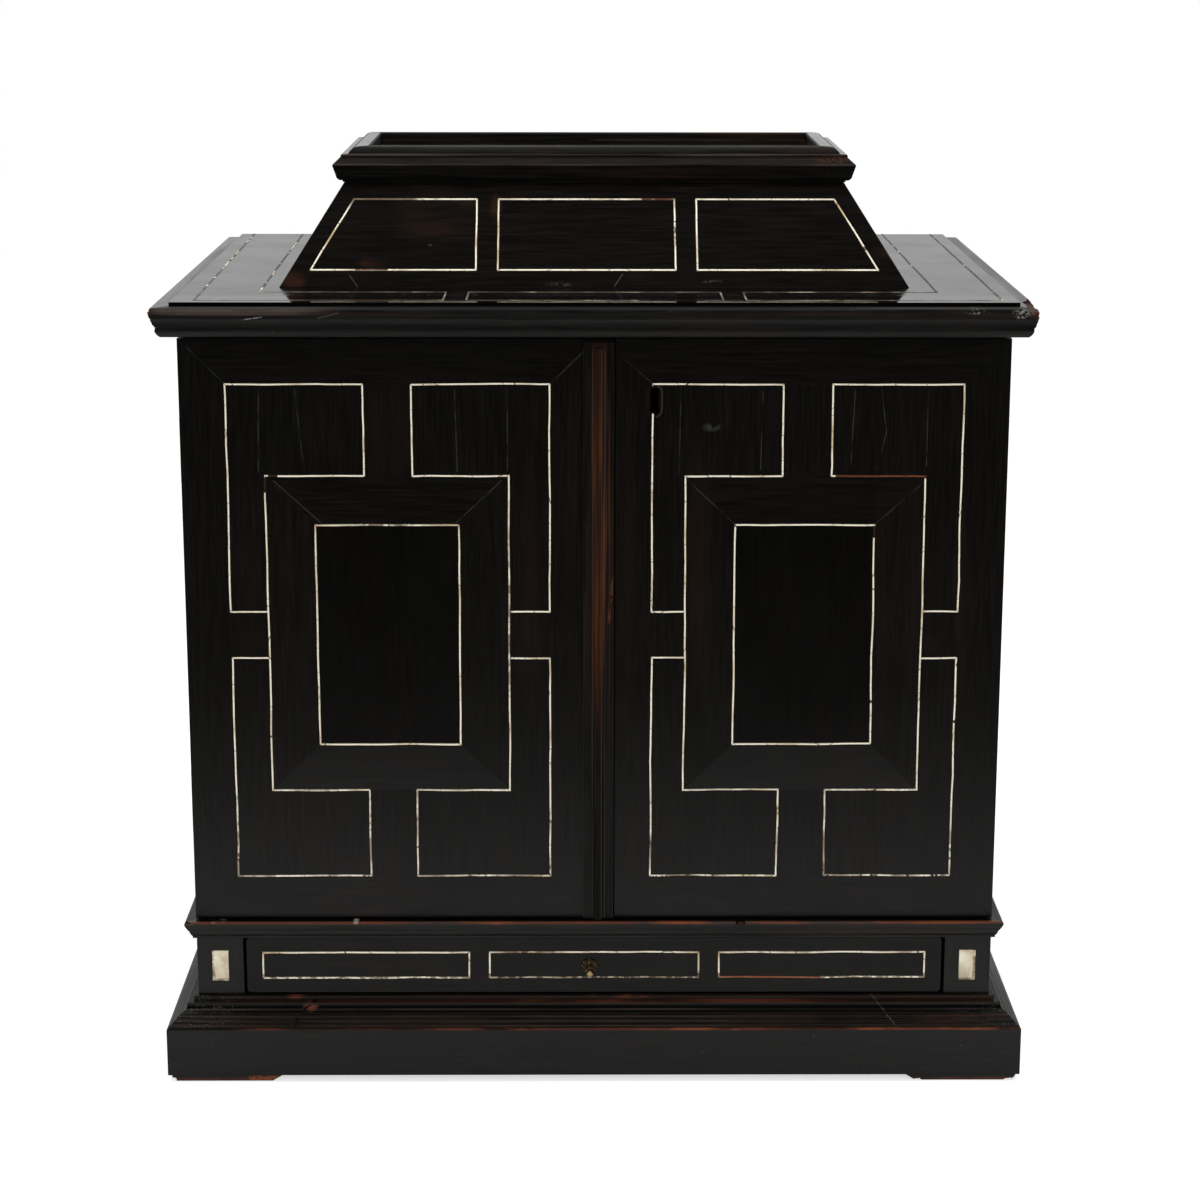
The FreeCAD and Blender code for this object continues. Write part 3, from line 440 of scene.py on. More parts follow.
def nosing_wear(look):
    """The worn line along the rounded top of the moulding under the doors, with painted shade on the ledge
    behind it.
    """
    height, across, depth = look.axis("Z"), look.axis("X"), look.axis("Y")
    # Painted shade: the ledge between the nosing and the doors' faces is laid black
    look.lay("dirt_and_shade", look.ramp(height, Z_CASE - 0.3, Z_CASE - 0.1),
             look.ramp(depth, Y_FACE - 5.6, Y_FACE - 4.6))
    line = look.times(look.between(height, Z_CASE - 1.2, Z_CASE, 0.4),
                      look.ramp(depth, Y_FACE - 4.4, Y_FACE - 5.4))
    rough = look.patchy(90, 5, 0.36, 0.58, stretch=0.25)
    look.lay("rubbed", line, 0.6)
    look.lay("worn", line, rough, 0.7)
    reach = look.times(look.ramp(across, -262, -225), look.ramp(across, 292, 200, 0.3, 1.0))
    look.lay("orange", line, reach, rough, look.patchy(40, 4, 0.36, 0.56, stretch=0.4), 0.6)
    look.lay("dirt_and_shade", look.stroke((101, 115), (107, 115), 2.4, 0.5))
    look.lay("rubbed", look.spot((-288, 116), (6, 3)), look.patchy(300, 3, 0.4, 0.5))
    look.lay("chalk", look.most(look.times(look.spot((-288, 117), (4, 1.4)), 0.35),
                                look.times(look.spot((-169.5, 115.8), (2.6, 1.2)), 0.8),
                                look.times(look.stroke((-272, 116), (-262, 116.2), 0.9, 0.4, 0.5), 0.3)))


def cornice_wear(look):
    """A brown rubbed band at the left, scuffs at the right, and a dark joint round the top board."""
    height, across, depth = look.axis("Z"), look.axis("X"), look.axis("Y")
    band = look.times(look.between(height, 553.4, 556.4, 0.9), look.ramp(across, -150, -215),
                      look.patchy(70, 6, 0.36, 0.56, stretch=0.2))
    look.lay("rubbed", band, 0.9)
    look.lay("tint", look.between(height, 552.6, 554.6, 0.5),
             look.patchy(50, 5, 0.48, 0.62, stretch=0.1), 0.8)
    look.lay("dirt_and_shade", look.between(height, 545.6, 547.0, 0.5), look.patchy(20, 4, 0.4, 0.6), 0.6)
    joint = look.most(look.ramp(depth, -187.1, -186.2),
                      look.ramp(look.maths("ABSOLUTE", across, 0), 289.4, 288.6))
    look.lay("dirt_and_shade", look.ramp(height, Z_CORNICE - 0.4, Z_CORNICE - 0.2), joint,
             look.ramp(depth, -40, -160, 0.55, 1.0))
    scuffs = look.spots(((257, 555.6), (10, 2.4)), ((290, 555.2), (11, 2.8)), ((288, 551.8), (9, 1.4)))
    long_scratch = look.stroke((-238.8, 549.6), (-223.3, 551.7), 0.5, 0.3, 0.4)
    faint_scratch = look.stroke((-186, 551), (-172, 554.6), 0.4, 0.3)
    look.lay("chalk", look.most(look.times(scuffs, look.patchy(420, 4, 0.46, 0.56), 0.6),
                                look.times(long_scratch, 0.6), look.times(faint_scratch, 0.15)))


def tray_wear(look):
    """Brown rubs on the slope of the tray's moulding and fine grey lines along its edges."""
    height = look.axis("Z")
    slope = look.between(height, 643, 647.5, 1.2)
    look.lay("tint", slope, look.patchy(30, 5, 0.4, 0.66, stretch=0.25), 0.6)
    edges = look.most(look.between(height, 642.2, 643.0, 0.3), look.between(height, 648.6, 649.6, 0.3))
    look.lay("rubbed", edges, look.patchy(50, 6, 0.4, 0.6, stretch=0.15), 0.5)
    look.lay("worn", look.spot((170, 646.4), (18, 4)), look.patchy(300, 4, 0.44, 0.56), 0.4)


def bead_wear(look):
    """The astragal's bead: red brown, amber half way up and grey at its foot, between fine pale lines."""
    height = look.axis("Z")
    off = look.maths("SUBTRACT", look.axis("X"), BEAD)
    aside = look.maths("ABSOLUTE", off, 0)
    streaks = look.noise(420, 4, 0.02, "Z")
    warm = look.times(look.ramp(height, 215, 300), look.ramp(height, 534, 528))
    glow = look.times(look.ramp(height, 250, 370), look.ramp(height, 520, 430, 0.08, 1.0))
    bead = look.ramp(aside, BEAD_HALF + 1.4, BEAD_HALF + 1.0)
    look.lay("tint", look.ramp(height, 480, 380), warm, look.ramp(streaks, 0.46, 0.62), 0.6)
    look.lay("tint", bead, warm, 0.7)
    look.lay("orange", bead, glow, look.ramp(streaks, 0.36, 0.62, 0.03, 0.34))
    beside = look.between(off, BEAD_HALF + 1.4, BEAD_HALF + 4.6, 0.8)
    look.lay("orange", beside, glow, look.ramp(streaks, 0.46, 0.64, 0.0, 0.16))
    lines = look.most(*(look.between(off, start, start + width, 0.15) for start, width in (
        (-BEAD_HALF - 0.9, 0.4), (BEAD_HALF - 0.9, 0.4), (BEAD_HALF + 1.3, 0.3))))
    pale = look.times(lines, look.ramp(height, 530, 524),
                      look.patchy(60, 4, 0.3, 0.5, stretch=0.1, grain="Z"))
    look.lay("haze", pale, 0.9)
    look.lay("worn", pale, look.patchy(30, 4, 0.45, 0.6), warm, 0.5)
    look.set(Specular_IOR_Level=look.ramp(aside, BEAD_HALF + 1.4, BEAD_HALF + 1.8, 0.07, 0.16))
    look.lay("worn", look.stroke((12.4, 366), (9.8, 335), 1.6, 0.5, 0.4), 0.8)
    look.lay("haze", look.stroke((12.6, 367), (12.0, 358), 0.7, 0.3))


def door_marks(look):
    """Faint veneer joints and cracks, brown patches, the worn rim of the keyhole and painted shade in its
    hole.
    """
    warm = look.spots(
        ((-212, 350), (24, 110)), ((-240, 380), (14, 90)), ((-50, 360), (26, 120)), ((-238, 322), (16, 14)),
        ((-34, 321), (14, 14)), ((-14, 380), (8, 180)), ((20, 380), (12, 170)), ((72, 370), (22, 110)),
        ((208, 360), (26, 130)), ((252, 330), (16, 110)), ((-140, 470), (26, 50)), ((236, 318), (14, 12)))
    look.lay("tint", warm, look.patchy(60, 4, 0.3, 0.7, stretch=0.04, grain="Z"), 0.32)
    lines = look.strokes(*((start, end, 0.35, 0.3) for start, end in (
        ((-229.4, 500), (-231.0, 442)), ((-204.9, 500), (-202.1, 471)), ((-202.1, 471), (-199.4, 442)),
        ((-95.8, 500), (-94.4, 442)), ((-59.7, 500), (-60.0, 442)), ((59, 502), (58, 440)),
        ((115, 498), (114, 444)), ((178, 500), (176, 446)), ((196, 500), (200, 470)),
        ((200, 470), (194, 444)), ((228, 498), (228, 446)), ((-252.5, 503.8), (-277.5, 528.6)),
        ((-30.3, 503.2), (-5.1, 528.3)), ((38.6, 504.6), (16.7, 523.2)), ((-221, 436), (-187, 405)),
        ((-64, 436), (-97, 405)), ((64, 436), (97, 405)), ((228, 436), (193, 405)))))
    look.lay("haze", lines, look.patchy(90, 3, 0.34, 0.6, 0.1, 0.9))
    look.lay("haze", look.spot((80.5, 473.3), (9, 4)), look.crack(60, 0.03), 0.8)
    aside = look.maths("SUBTRACT", look.axis("X"), KEYHOLE[0])
    level = look.maths("ABSOLUTE", look.maths("SUBTRACT", look.axis("Z"), KEYHOLE[1]), 0)
    above = look.maths("MAXIMUM", look.maths("SUBTRACT", level, KEYHOLE_HALF), 0.0)
    away = look.maths("SQRT", look.maths("ADD", look.times(aside, aside), look.times(above, above)), 0)
    look.lay("tint", look.ramp(away, 6.4, 4.6), look.patchy(300, 4, 0.3, 0.55, 0.3, 1.0), 0.35)
    look.lay("rubbed", look.between(away, 4.8, 5.4, 0.3), look.ramp(aside, 0.0, 2.0), 0.5)
    # Painted shade: the keyhole's walls and its middle are laid black, as the hole looks dark
    inside = look.times(look.ramp(away, 4.4, 4.0), look.ramp(look.axis("Y"), Y_FACE + 0.2, Y_FACE + 0.5))
    look.lay("dirt_and_shade", look.most(inside, look.ramp(away, 3.6, 3.3)))


def panel_marks(look):
    """The raised panels are blacker than the rest of the doors."""
    door_marks(look)
    look.lay("dirt_and_shade", 0.55)


def top_marks(look):
    """Cross joints and dents in the blackened veneer of the top, which is glossier in front of the coffer."""
    look.rough = look.times(look.rough, look.ramp(look.axis("Y"), -160, -150, 0.35, 1.0))
    look.lay("dirt_and_shade", 0.8)
    joints = look.strokes(*((start, end, 0.7, 0.5, 0.0, True) for start, end in (
        ((-274, -0.4), (-231, -0.2)), ((233, 13), (273, 13)), ((236, -123), (273, -123)),
        ((-272, -133), (-214, -134)), ((229, 1.6), (250, 1.6)))))
    dents = look.spots(((239.5, 84.6), (5.6, 3.4), True), ((253.8, 66.2), (4, 2.6), True),
                       ((-273.6, -92.4), (3, 2.4), True))
    look.lay("haze", look.most(joints, dents), 0.5)


def coffer_marks(look):
    """Red brown where the black has worn thin, and a few pale scratches."""
    thin = look.patchy(70, 5, 0.3, 0.62, stretch=0.3)
    mild = [look.times(look.spot(place, reach), share) for place, reach, share in (
        ((-112, 606), (44, 24), 0.5), ((207, 580), (16, 14), 0.8))]
    strong = [look.times(look.spot(place, reach), share) for place, reach, share in (
        ((-212, 565), (12, 8), 1.4), ((-156, 576), (14, 4), 1.5), ((-92, 616), (12, 5), 1.2),
        ((-70, 612), (6, 12), 1.0))]
    look.lay("tint", look.most(*mild, *strong), thin)
    look.lay("worn", look.most(*strong), thin, 0.12)
    scratches = look.strokes(((-172.4, 568), (-166, 560), 0.4, 0.3), ((14, 561), (20, 569), 0.5, 0.4))
    chalky = look.times(look.spots(((-25, 562), (12, 2)), ((83, 564), (10, 1.6))),
                        look.patchy(420, 4, 0.46, 0.58))
    speck = look.times(look.spot((-116, 588), (2.4, 1)), 0.8)
    look.lay("chalk", look.most(scratches, chalky, speck), 0.1)


def bone(name, soiled=0.0, marks=None, split=True):
    """Old bone: ivory, with tan stains, fine dark pores and hair cracks across the strips."""
    look = Finish(name, Roughness=0.42, Specular_IOR_Level=0.4)
    look.ground(look.patchy(38, 5, 0.46 - soiled / 4, 0.76 - soiled / 3, 0.0, 0.9), "bone", "bone_stain")
    look.lay("glue", look.patchy(900, 3, 0.60, 0.75, 0.0, 0.5))
    faded = look.patchy(70, 4, 0.66 - soiled / 2.5, 0.74 - soiled / 3, shift=(0.3, 0.1, 0.2))
    look.lay("glue", faded, 0.45 + soiled / 2)
    splits = look.most(look.crack(26, 0.0022, detail=0.0), look.crack(41, 0.002, 0.46, detail=0.0))
    if split:
        look.lay("dirt_and_shade", splits, 0.85)
    if marks:
        marks(look)
    return look.done((look.noise(500, 4), 0.04), (splits, -0.1))


def drawer_bone(look):
    """The lower lines are mostly dirt, with the bone showing as dashes."""
    across = look.axis("X")
    dots = look.patchy(520, 3, 0.44, 0.56, stretch=0.5)
    low = look.ramp(look.axis("Z"), 75, 74)
    middle = look.times(low, look.between(across, -78, 76, 2))
    look.lay("glue", low, dots, 0.75)
    look.lay("glue", middle, 0.6)
    look.lay("tint", middle, dots, 0.6)
    look.lay("glue", look.spot((-48, 89.8), (34, 5)), look.patchy(240, 3, 0.38, 0.52), 0.85)
    lost = look.times(look.between(across, 86, 162, 1), low)
    look.lay("orange", lost, look.patchy(160, 4, 0.3, 0.6, 0.6, 1.0, stretch=0.3))
    look.lay("dirt_and_shade", look.stroke((-178.6, 89.8), (-177.8, 89.8), 4.0, 0.2))


def door_bone(look):
    """Lost and loose stretches of the doors' lines."""
    look.lay("tint", look.strokes(
        ((192.4, 404), (192.6, 396), 4.0, 0.6), ((188.0, 441), (187.0, 427), 4.0, 0.8),
        ((-224.0, 440.4), (-218.0, 439.6), 3.4, 0.6), ((-225.6, 438), (-225.6, 428), 3.4, 1.5)))
    look.lay("dirt_and_shade", look.spot((40, 501.0), (3.4, 2.6)))
    groove = look.stroke((166, 439.8), (230, 439.8), 4.0, 1.0)
    look.lay("worn", groove)
    look.lay("orange", groove, look.patchy(120, 4, 0.4, 0.6), 0.6)
    low = look.ramp(look.axis("Z"), 250, 160)
    look.lay("glue", low, look.patchy(50, 4, 0.4, 0.6, shift=(0.2, 0, 0.4)), 0.75)
    look.lay("dirt_and_shade", low, look.patchy(260, 3, 0.58, 0.64), 0.8)
    look.lay("worn", look.spot((-161, 401.5), (6, 4)), 0.8)
    tired = look.spots(((124, 150), (4, 70)), ((159, 150), (4, 70)), ((125, 240), (40, 4)),
                       ((-60, 330), (4, 110)), ((-143, 405), (50, 4)))
    look.lay("glue", tired, look.patchy(140, 3, 0.36, 0.56), 0.8)
    for reach, places in (
            ((4, 1.8), ((58.9, 295.2), (93.4, 286.5), (192.9, 277.8), (36, 280), (250, 172.5),
                        (253.1, 262.7), (255.4, 281.4))),
            ((1.8, 4), ((155.6, 241.6), (197.1, 148), (222.9, 148), (240.6, 148), (243.4, 148)))):
        look.lay("dirt_and_shade", look.spots(*((place, reach) for place in places)))


def coffer_bone(look):
    """Stretches of the coffer's lines that have been lost or patched with brown."""
    lost = look.strokes(((-168, 574), (-146, 574), 4.5, 1.2), ((34, 618.5), (56, 618.5), 4.0, 0.6))
    look.lay("worn", lost, look.patchy(160, 4, 0.3, 0.5, 0.5, 1.0))
    look.lay("glue", look.stroke((-171, 618.6), (-130, 618.6), 4.0, 8.0), 0.85)


def plaque_bone(look):
    """The tablets in the frieze go yellow towards their feet, with wavy grey grain and a brown edge."""
    height, aside = look.axis("Z"), look.maths("ABSOLUTE", look.axis("X"), 0)
    low = look.ramp(height, 90, 68)
    look.lay("bone_stain", low, 0.5)
    look.lay("stain", low, look.patchy(120, 3, 0.45, 0.62, stretch=0.25, grain="Z"), 0.35)
    edge = look.most(look.ramp(height, 71.4, 69.8), look.ramp(aside, 270.4, 272.6))
    look.lay("glue", edge, look.patchy(200, 4, 0.36, 0.56), 0.8)


def top_bone(look):
    """The lines on the top, broken and dirty: black and brown by turns, with clean ends."""
    across, depth = look.axis("X"), look.axis("Y")
    front = look.ramp(depth, -120, -135)
    gaps = look.patchy(34, 2, 0.46, 0.49, shift=(0.11, 0.02, 0))
    look.lay("glue", look.patchy(100, 3, 0.5, 0.6), 0.6)
    look.lay("dirt_and_shade", gaps, look.ramp(front, 0.0, 1.0, 0.95, 0.6))
    look.lay("rubbed", front, look.patchy(60, 4, 0.3, 0.6, 0.2, 0.8))
    right = look.ramp(across, 225, 235)
    look.lay("dirt_and_shade", right, look.patchy(30, 3, 0.35, 0.5))
    nearest = look.ramp(depth, -150, -165)
    look.lay("dirt_and_shade", nearest, look.between(across, 30, 74, 1))


def dirty_edge(name):
    """Brown glue and black dirt along the edges of the bone."""
    look = Finish(name, Specular_IOR_Level=0.2)
    share = look.patchy(120, 4, 0.35, 0.65)
    look.ground(share, "glue", "dirt_and_shade")
    return look.done((look.noise(800, 3), 0.05), Roughness=look.ramp(share, 0.0, 1.0, 0.6, 0.8))


def brass(name, bright, metal=1.0, scale=620, soft=0.1):
    """Aged brass: dark brown tarnish, and metal that shows where it is touched."""
    look = Finish(name, Metallic=metal)
    tarnish = look.patchy(scale, 5, bright - soft, bright + soft)
    look.ground(tarnish, "brass", "tarnish")
    return look.done((look.noise(900, 4), 0.12), Roughness=look.ramp(tarnish, 0.0, 1.0, 0.3, 0.6))


def lock_brass(name):
    """The lock case, with painted shade where it shows through the keyhole: black and dull there, not metal.
    """
    look = Finish(name)
    tarnish = look.patchy(90, 6, 0.36, 0.76)
    x, z = KEYHOLE
    # Painted shade: the front of the case behind the keyhole is black and not metal, so the hole looks dark
    keyhole_shade = look.times(look.stroke((x, z - 12), (x, z + 12), 16.0, 1.0),
                        look.ramp(look.axis("Y"), Y_FACE + 21, Y_FACE + 20))
    keyhole_shade = look.most(keyhole_shade, look.stroke((x, z - 9.6), (x, z + 9.6), 6.8, 0.3))
    look.ground(tarnish, "brass", "tarnish")
    look.lay("dirt_and_shade", keyhole_shade)
    return look.done((look.noise(700, 4), 0.05), Metallic=look.ramp(keyhole_shade, 0.0, 1.0, 1.0, 0.0),
                     Roughness=look.ramp(look.most(tarnish, keyhole_shade), 0.0, 1.0, 0.3, 0.7))


def plain_wood(name, tone, grain, stained_to=None):
    """Open-grained wood inside the case and drawers, stained black up to a plane near its front."""
    look = Finish(name, Specular_IOR_Level=0.3)
    growth = look.maths("PINGPONG", look.times(look.noise(6, 3, 0.04, grain), 26.0), 0.5)
    rings = look.ramp(growth, 0.1, 0.5)
    fine = look.patchy(420, 4, 0.35, 0.7, stretch=0.04, grain=grain)
    pores = look.patchy(1500, 3, 0.56, 0.7, stretch=0.04, grain=grain)
    look.ground(look.times(rings, 0.6), tone, "cedar_vein")
    look.lay("cedar_vein", fine, 0.35)
    look.lay("tint", pores, 0.6)
    if stained_to is not None:
        look.lay("dirt_and_shade", look.ramp(look.axis("Y"), stained_to + 1.0, stained_to))
    return look.done((pores, -0.06), (rings, 0.05), (fine, 0.03),
                     Roughness=look.ramp(rings, 0.3, 0.7, 0.46, 0.58))


FINISHES = {
    "ebony_x": lambda name: ebony(name, "X"),
    "ebony_y": lambda name: ebony(name, "Y"),
    "ebony_z": lambda name: ebony(name, "Z"),
    "door_ebony_x": lambda name: ebony(name, "X", door_marks, gloss=0.27),
    "door_ebony": lambda name: ebony(name, "Z", door_marks, gloss=0.27),
    "panel_ebony": lambda name: ebony(name, "Z", panel_marks, gloss=0.2),
    "drawer_ebony": lambda name: ebony(name, "X", gloss=0.22),
    "plinth_ebony": lambda name: ebony(name, "X", plinth_wear),
    "top_ebony": lambda name: ebony(name, "X", top_marks, shine=0.14, gloss=0.27, fine=0.003),
    "coffer_ebony": lambda name: ebony(name, "X", coffer_marks, gloss=0.22),
    "side_polish": lambda name: ebonised(name, "Y", shine=0.2, gloss=0.42),
    "side_wood": lambda name: ebonised(name, "Y", shine=0.36, gloss=0.27),
    "pad_wood": lambda name: ebonised(name, "X", pad_wear),
    "reeded_wood": lambda name: ebonised(name, "X", reeded_wear, shine=0.24, gloss=0.22),
    "nosing_wood": lambda name: ebonised(name, "X", nosing_wear),
    "cornice_wood": lambda name: ebonised(name, "X", cornice_wear, shine=0.42, gloss=0.27),
    "tray_wood": lambda name: ebonised(name, "X", tray_wear, shine=0.46, gloss=0.14),
    "tray_rim": lambda name: ebony(name, "X", shine=0.14, gloss=0.36, fine=0.003),
    "astragal_wood": lambda name: ebonised(name, "Z", bead_wear, shine=0.34),
    "raw_wood": raw_wood,
    "arris": lambda name: worn_arris(name, "worn", 0.46),
    "arris_dark": lambda name: worn_arris(name, "tint", 0.6),
    "bone": bone,
    "drawer_bone": lambda name: bone(name, 0.1, drawer_bone),
    "door_bone": lambda name: bone(name, 0.0, door_bone),
    "coffer_bone": lambda name: bone(name, 0.1, coffer_bone),
    "plaque_bone": lambda name: bone(name, 0.0, plaque_bone, split=False),
    "top_bone": lambda name: bone(name, 0.15, top_bone),
    "dirty_edge": dirty_edge,
    "brass": lambda name: brass(name, 0.62, scale=140, soft=0.22),
    "dark_brass": lambda name: brass(name, 0.34, metal=0.6),
    "bright_brass": lambda name: brass(name, 0.72, metal=0.3),
    "lock_brass": lock_brass,
    "cedar": lambda name: plain_wood(name, "cedar", "Z"),
    "cedar_x": lambda name: plain_wood(name, "cedar", "X"),
    "deck_cedar": lambda name: plain_wood(name, "cedar", "X", Y_CASE - 1.0),
    "guide_wood": lambda name: plain_wood(name, "drawer_wood", "Y", Y_FACE + GUIDE_STAIN),
    "drawer_wood": lambda name: plain_wood(name, "drawer_wood", "Y"),
}


def finish(name):
    """A finish by name, made when it is first asked for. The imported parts' own finishes have short names."""
    full = name + "_finish"
    return bpy.data.materials.get(full) or FINISHES[name](full)


def take(piece):
    """Makes a piece the only selected and the active one."""
    bpy.ops.object.select_all(action="DESELECT")
    piece.select_set(True)
    bpy.context.view_layer.objects.active = piece


@contextlib.contextmanager
def editing(piece, mode="FACE"):
    """Edit mode for as long as the block lasts."""
    take(piece)
    bpy.ops.object.mode_set(mode="EDIT")
    bpy.ops.mesh.select_mode(type=mode)
    yield
    bpy.ops.object.mode_set(mode="OBJECT")


def fresh(shape, **settings):
    """A new piece from one of the tool's own shapes, with its place and size in its mesh."""
    bpy.ops.object.select_all(action="DESELECT")
    shape(**settings)
    bpy.ops.object.transform_apply(location=True, rotation=True, scale=True)
    return bpy.context.object


def pick(mesh, kind, chosen):
    """Selects some of a mesh's vertices, edges or polygons, and nothing else."""
    for items in (mesh.vertices, mesh.edges, mesh.polygons):
        items.foreach_set("select", [False] * len(items))
    items = getattr(mesh, kind)
    for index in chosen:
        items[index].select = True


def picked(mesh):
    """The numbers of the selected polygons."""
    return [face.index for face in mesh.polygons if face.select]


def shells(mesh):
    """The triangles of each solid in a node's mesh. A solid ends where its surface closes."""
    groups, group, open_edges = [], [], set()
    for face in mesh.polygons:
        corners = [tuple(round(c * 1e6) for c in mesh.vertices[i].co) for i in face.vertices]
        for edge in zip(corners, corners[1:] + corners[:1]):
            if edge[::-1] in open_edges:
                open_edges.remove(edge[::-1])
            elif edge[0] != edge[1]:
                open_edges.add(edge)
        group.append(face.index)
        if not open_edges:
            groups.append(group)
            group = []
    return groups


def merged(piece):
    """Joins the loose triangles of a copied node, one solid at a time, into whole faces."""
    mesh = piece.data
    solid_of = mesh.attributes.new("solid", "INT", "FACE")
    groups = shells(mesh)
    for number, group in enumerate(groups):
        for index in group:
            solid_of.data[index].value = number
    for number in range(len(groups)):
        solid_of = mesh.attributes["solid"]
        pick(mesh, "polygons", [i for i, item in enumerate(solid_of.data) if item.value == number])
        with editing(piece):
            bpy.ops.mesh.remove_doubles(threshold=WELD)
    with editing(piece):
        bpy.ops.mesh.customdata_custom_splitnormals_clear()
        bpy.ops.mesh.select_all(action="SELECT")
        bpy.ops.mesh.dissolve_limited(angle_limit=FLAT)


def arrises(mesh, shortest):
    """The convex edges that are sharp and longer than a length."""
    sides = {}
    for face in mesh.polygons:
        for key in face.edge_keys:
            sides.setdefault(key, []).append(face)
    found = []
    for edge in mesh.edges:
        pair = sides.get(edge.key, [])
        start, end = (mesh.vertices[i].co for i in edge.vertices)
        if len(pair) != 2 or (end - start).length < shortest:
            continue
        one, two = pair
        convex = (two.center - one.center).dot(one.normal) < 0
        if convex and one.normal.angle(two.normal, 0.0) > SHARP:
            found.append(edge.index)
    return found


def ease(piece, width, segments, shortest, worn):
    """Rounds the arrises of a piece and gives the rounded faces the worn finish."""
    pick(piece.data, "edges", arrises(piece.data, shortest))
    with editing(piece, "EDGE"):
        bpy.ops.mesh.bevel(offset=width, segments=segments, affect="EDGES", material=worn,
                           clamp_overlap=True)


def even_shading(piece):
    """Smooth curves and true flats: a large face keeps its own normal beside a rounded edge."""
    take(piece)
    bpy.ops.object.shade_smooth_by_angle(angle=math.radians(30))
    modifier(piece, "WEIGHTED_NORMAL", keep_sharp=True, weight=100)


def modifier(piece, kind, **settings):
    """Adds a modifier and applies it."""
    added = piece.modifiers.new(kind.lower(), kind)
    for key, value in settings.items():
        setattr(added, key, value)
    take(piece)
    bpy.ops.object.modifier_apply(modifier=added.name)


def repaint(piece, rule):
    """Gives faces the finish that a rule picks from a face, its solid's number and that solid's size."""
    mesh = piece.data
    numbers = [item.value for item in mesh.attributes["solid"].data]
    corners = {}
    for face in mesh.polygons:
        corners.setdefault(numbers[face.index], []).extend(mesh.vertices[i].co for i in face.vertices)
    sizes = {number: Vector([max(c[k] for c in found) - min(c[k] for c in found) for k in range(3)])
             for number, found in corners.items()}
    for face in mesh.polygons:
        chosen = rule(face, numbers[face.index], sizes[numbers[face.index]])
        if chosen is not None:
            face.material_index = chosen


def side_lengths(face, number, size):
    """The lengths of moulding on the sides take a finish whose grain runs along them."""
    return 2 if size.y > size.x and face.material_index == 0 else None


def outward(mesh, directions):
    """The faces that look along one of the directions."""
    return [face.index for face in mesh.polygons
            if any(face.normal.dot(direction) > 0.99 for direction in directions)]


def bordered(piece, directions, width):
    """Gives each strip's outer face a narrow border in the second finish."""
    pick(piece.data, "polygons", outward(piece.data, directions))
    with editing(piece):
        bpy.ops.mesh.inset(thickness=width, depth=0.0, use_individual=True, use_select_inset=True)
    for index in picked(piece.data):
        piece.data.polygons[index].material_index = 1


def wavered(piece, directions, sways):
    """Lets strips stray a little from straight, as hand-cut ones do, and stand a hair proud."""
    mesh = piece.data
    ends = [[mesh.vertices[i].co for i in edge.vertices] for edge in mesh.edges]
    pick(mesh, "edges",
         [edge for edge, (start, end) in enumerate(ends) if (start - end).length > WAVER_EDGE])
    with editing(piece, "EDGE"):
        bpy.ops.mesh.subdivide(number_cuts=WAVER_CUTS)
    for direction in directions:
        pick(mesh, "polygons", outward(mesh, [direction]))
        with editing(piece):
            bpy.ops.transform.translate(value=direction * WAVER_LIFT)
    clouds = bpy.data.textures.get("waver") or bpy.data.textures.new("waver", "CLOUDS")
    clouds.noise_scale = WAVER_CLOUDS
    for axis, sway in sways:
        modifier(piece, "DISPLACE", texture=clouds, texture_coords="LOCAL", direction=axis, strength=sway,
                 mid_level=0.5)


def dressed(node, *finishes, arris=0.0, segments=2, shortest=4 * MM, rule=None, border=None, sways=(),
            chips=()):
    """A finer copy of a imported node, which it replaces: merged, eased and finished."""
    piece = bpy.data.objects.new(node + "_shown", frame["nodes"][node].data.copy())
    bpy.context.scene.collection.objects.link(piece)
    piece.data.materials.clear()
    for name in finishes:
        piece.data.materials.append(finish(name))
    merged(piece)
    if arris:
        ease(piece, arris, segments, shortest, worn=min(1, len(finishes) - 1))
    if border:
        bordered(piece, border, bpy.context.scene.cabinet_sizes.bone_edge)
        wavered(piece, border, sways)
    if rule:
        repaint(piece, rule)
    piece.data.attributes.remove(piece.data.attributes["solid"])
    if chips:
        chipped(piece, chips)
    even_shading(piece)
    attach(piece, BODY_OF[node])
    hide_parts(node)
    return piece


def chip(part, place, size, seed):
    """Breaks a bit off one solid: a lumpy pebble of a size (x, y, z) in mm is cut away at a place in mm."""
    pebble = fresh(bpy.ops.mesh.primitive_ico_sphere_add, subdivisions=3, radius=1.0)
    with editing(pebble, "VERT"):
        bpy.ops.mesh.select_all(action="SELECT")
        bpy.ops.transform.vertex_random(offset=0.3, uniform=0.0, normal=0.5, seed=seed)
        bpy.ops.transform.resize(value=[length * MM for length in size], center_override=(0, 0, 0))
        bpy.ops.transform.translate(value=Vector(place) * MM)
    pebble.data.materials.append(finish("raw_wood"))
    modifier(part, "BOOLEAN", object=pebble, operation="DIFFERENCE", solver="EXACT",
             material_mode="TRANSFER")
    bpy.data.objects.remove(pebble)


def reaches(part, place, size):
    """Whether a pebble at a place touches a part's box."""
    corners = [vertex.co for vertex in part.data.vertices]
    return all(min(c[k] for c in corners) < (place[k] + size[k]) * MM
               and max(c[k] for c in corners) > (place[k] - size[k]) * MM for k in range(3))


def chipped(piece, chips):
    """Cuts chips of (place, size) out of a piece, one of its solids at a time."""
    with editing(piece):
        bpy.ops.mesh.select_all(action="SELECT")
        bpy.ops.mesh.separate(type="LOOSE")
    parts = list(bpy.context.selected_objects)
    for part in parts:
        for seed, (place, size) in enumerate(chips):
            if reaches(part, place, size):
                chip(part, place, size, seed)
    take(piece)
    for part in parts:
        part.select_set(True)
    bpy.ops.object.join()


def joined(copies, name, body):
    """Makes one named piece of several, which rides on a body."""
    take(copies[0])
    for copy in copies:
        copy.select_set(True)
    bpy.ops.object.join()
    copies[0].name = name
    even_shading(copies[0])
    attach(copies[0], body)


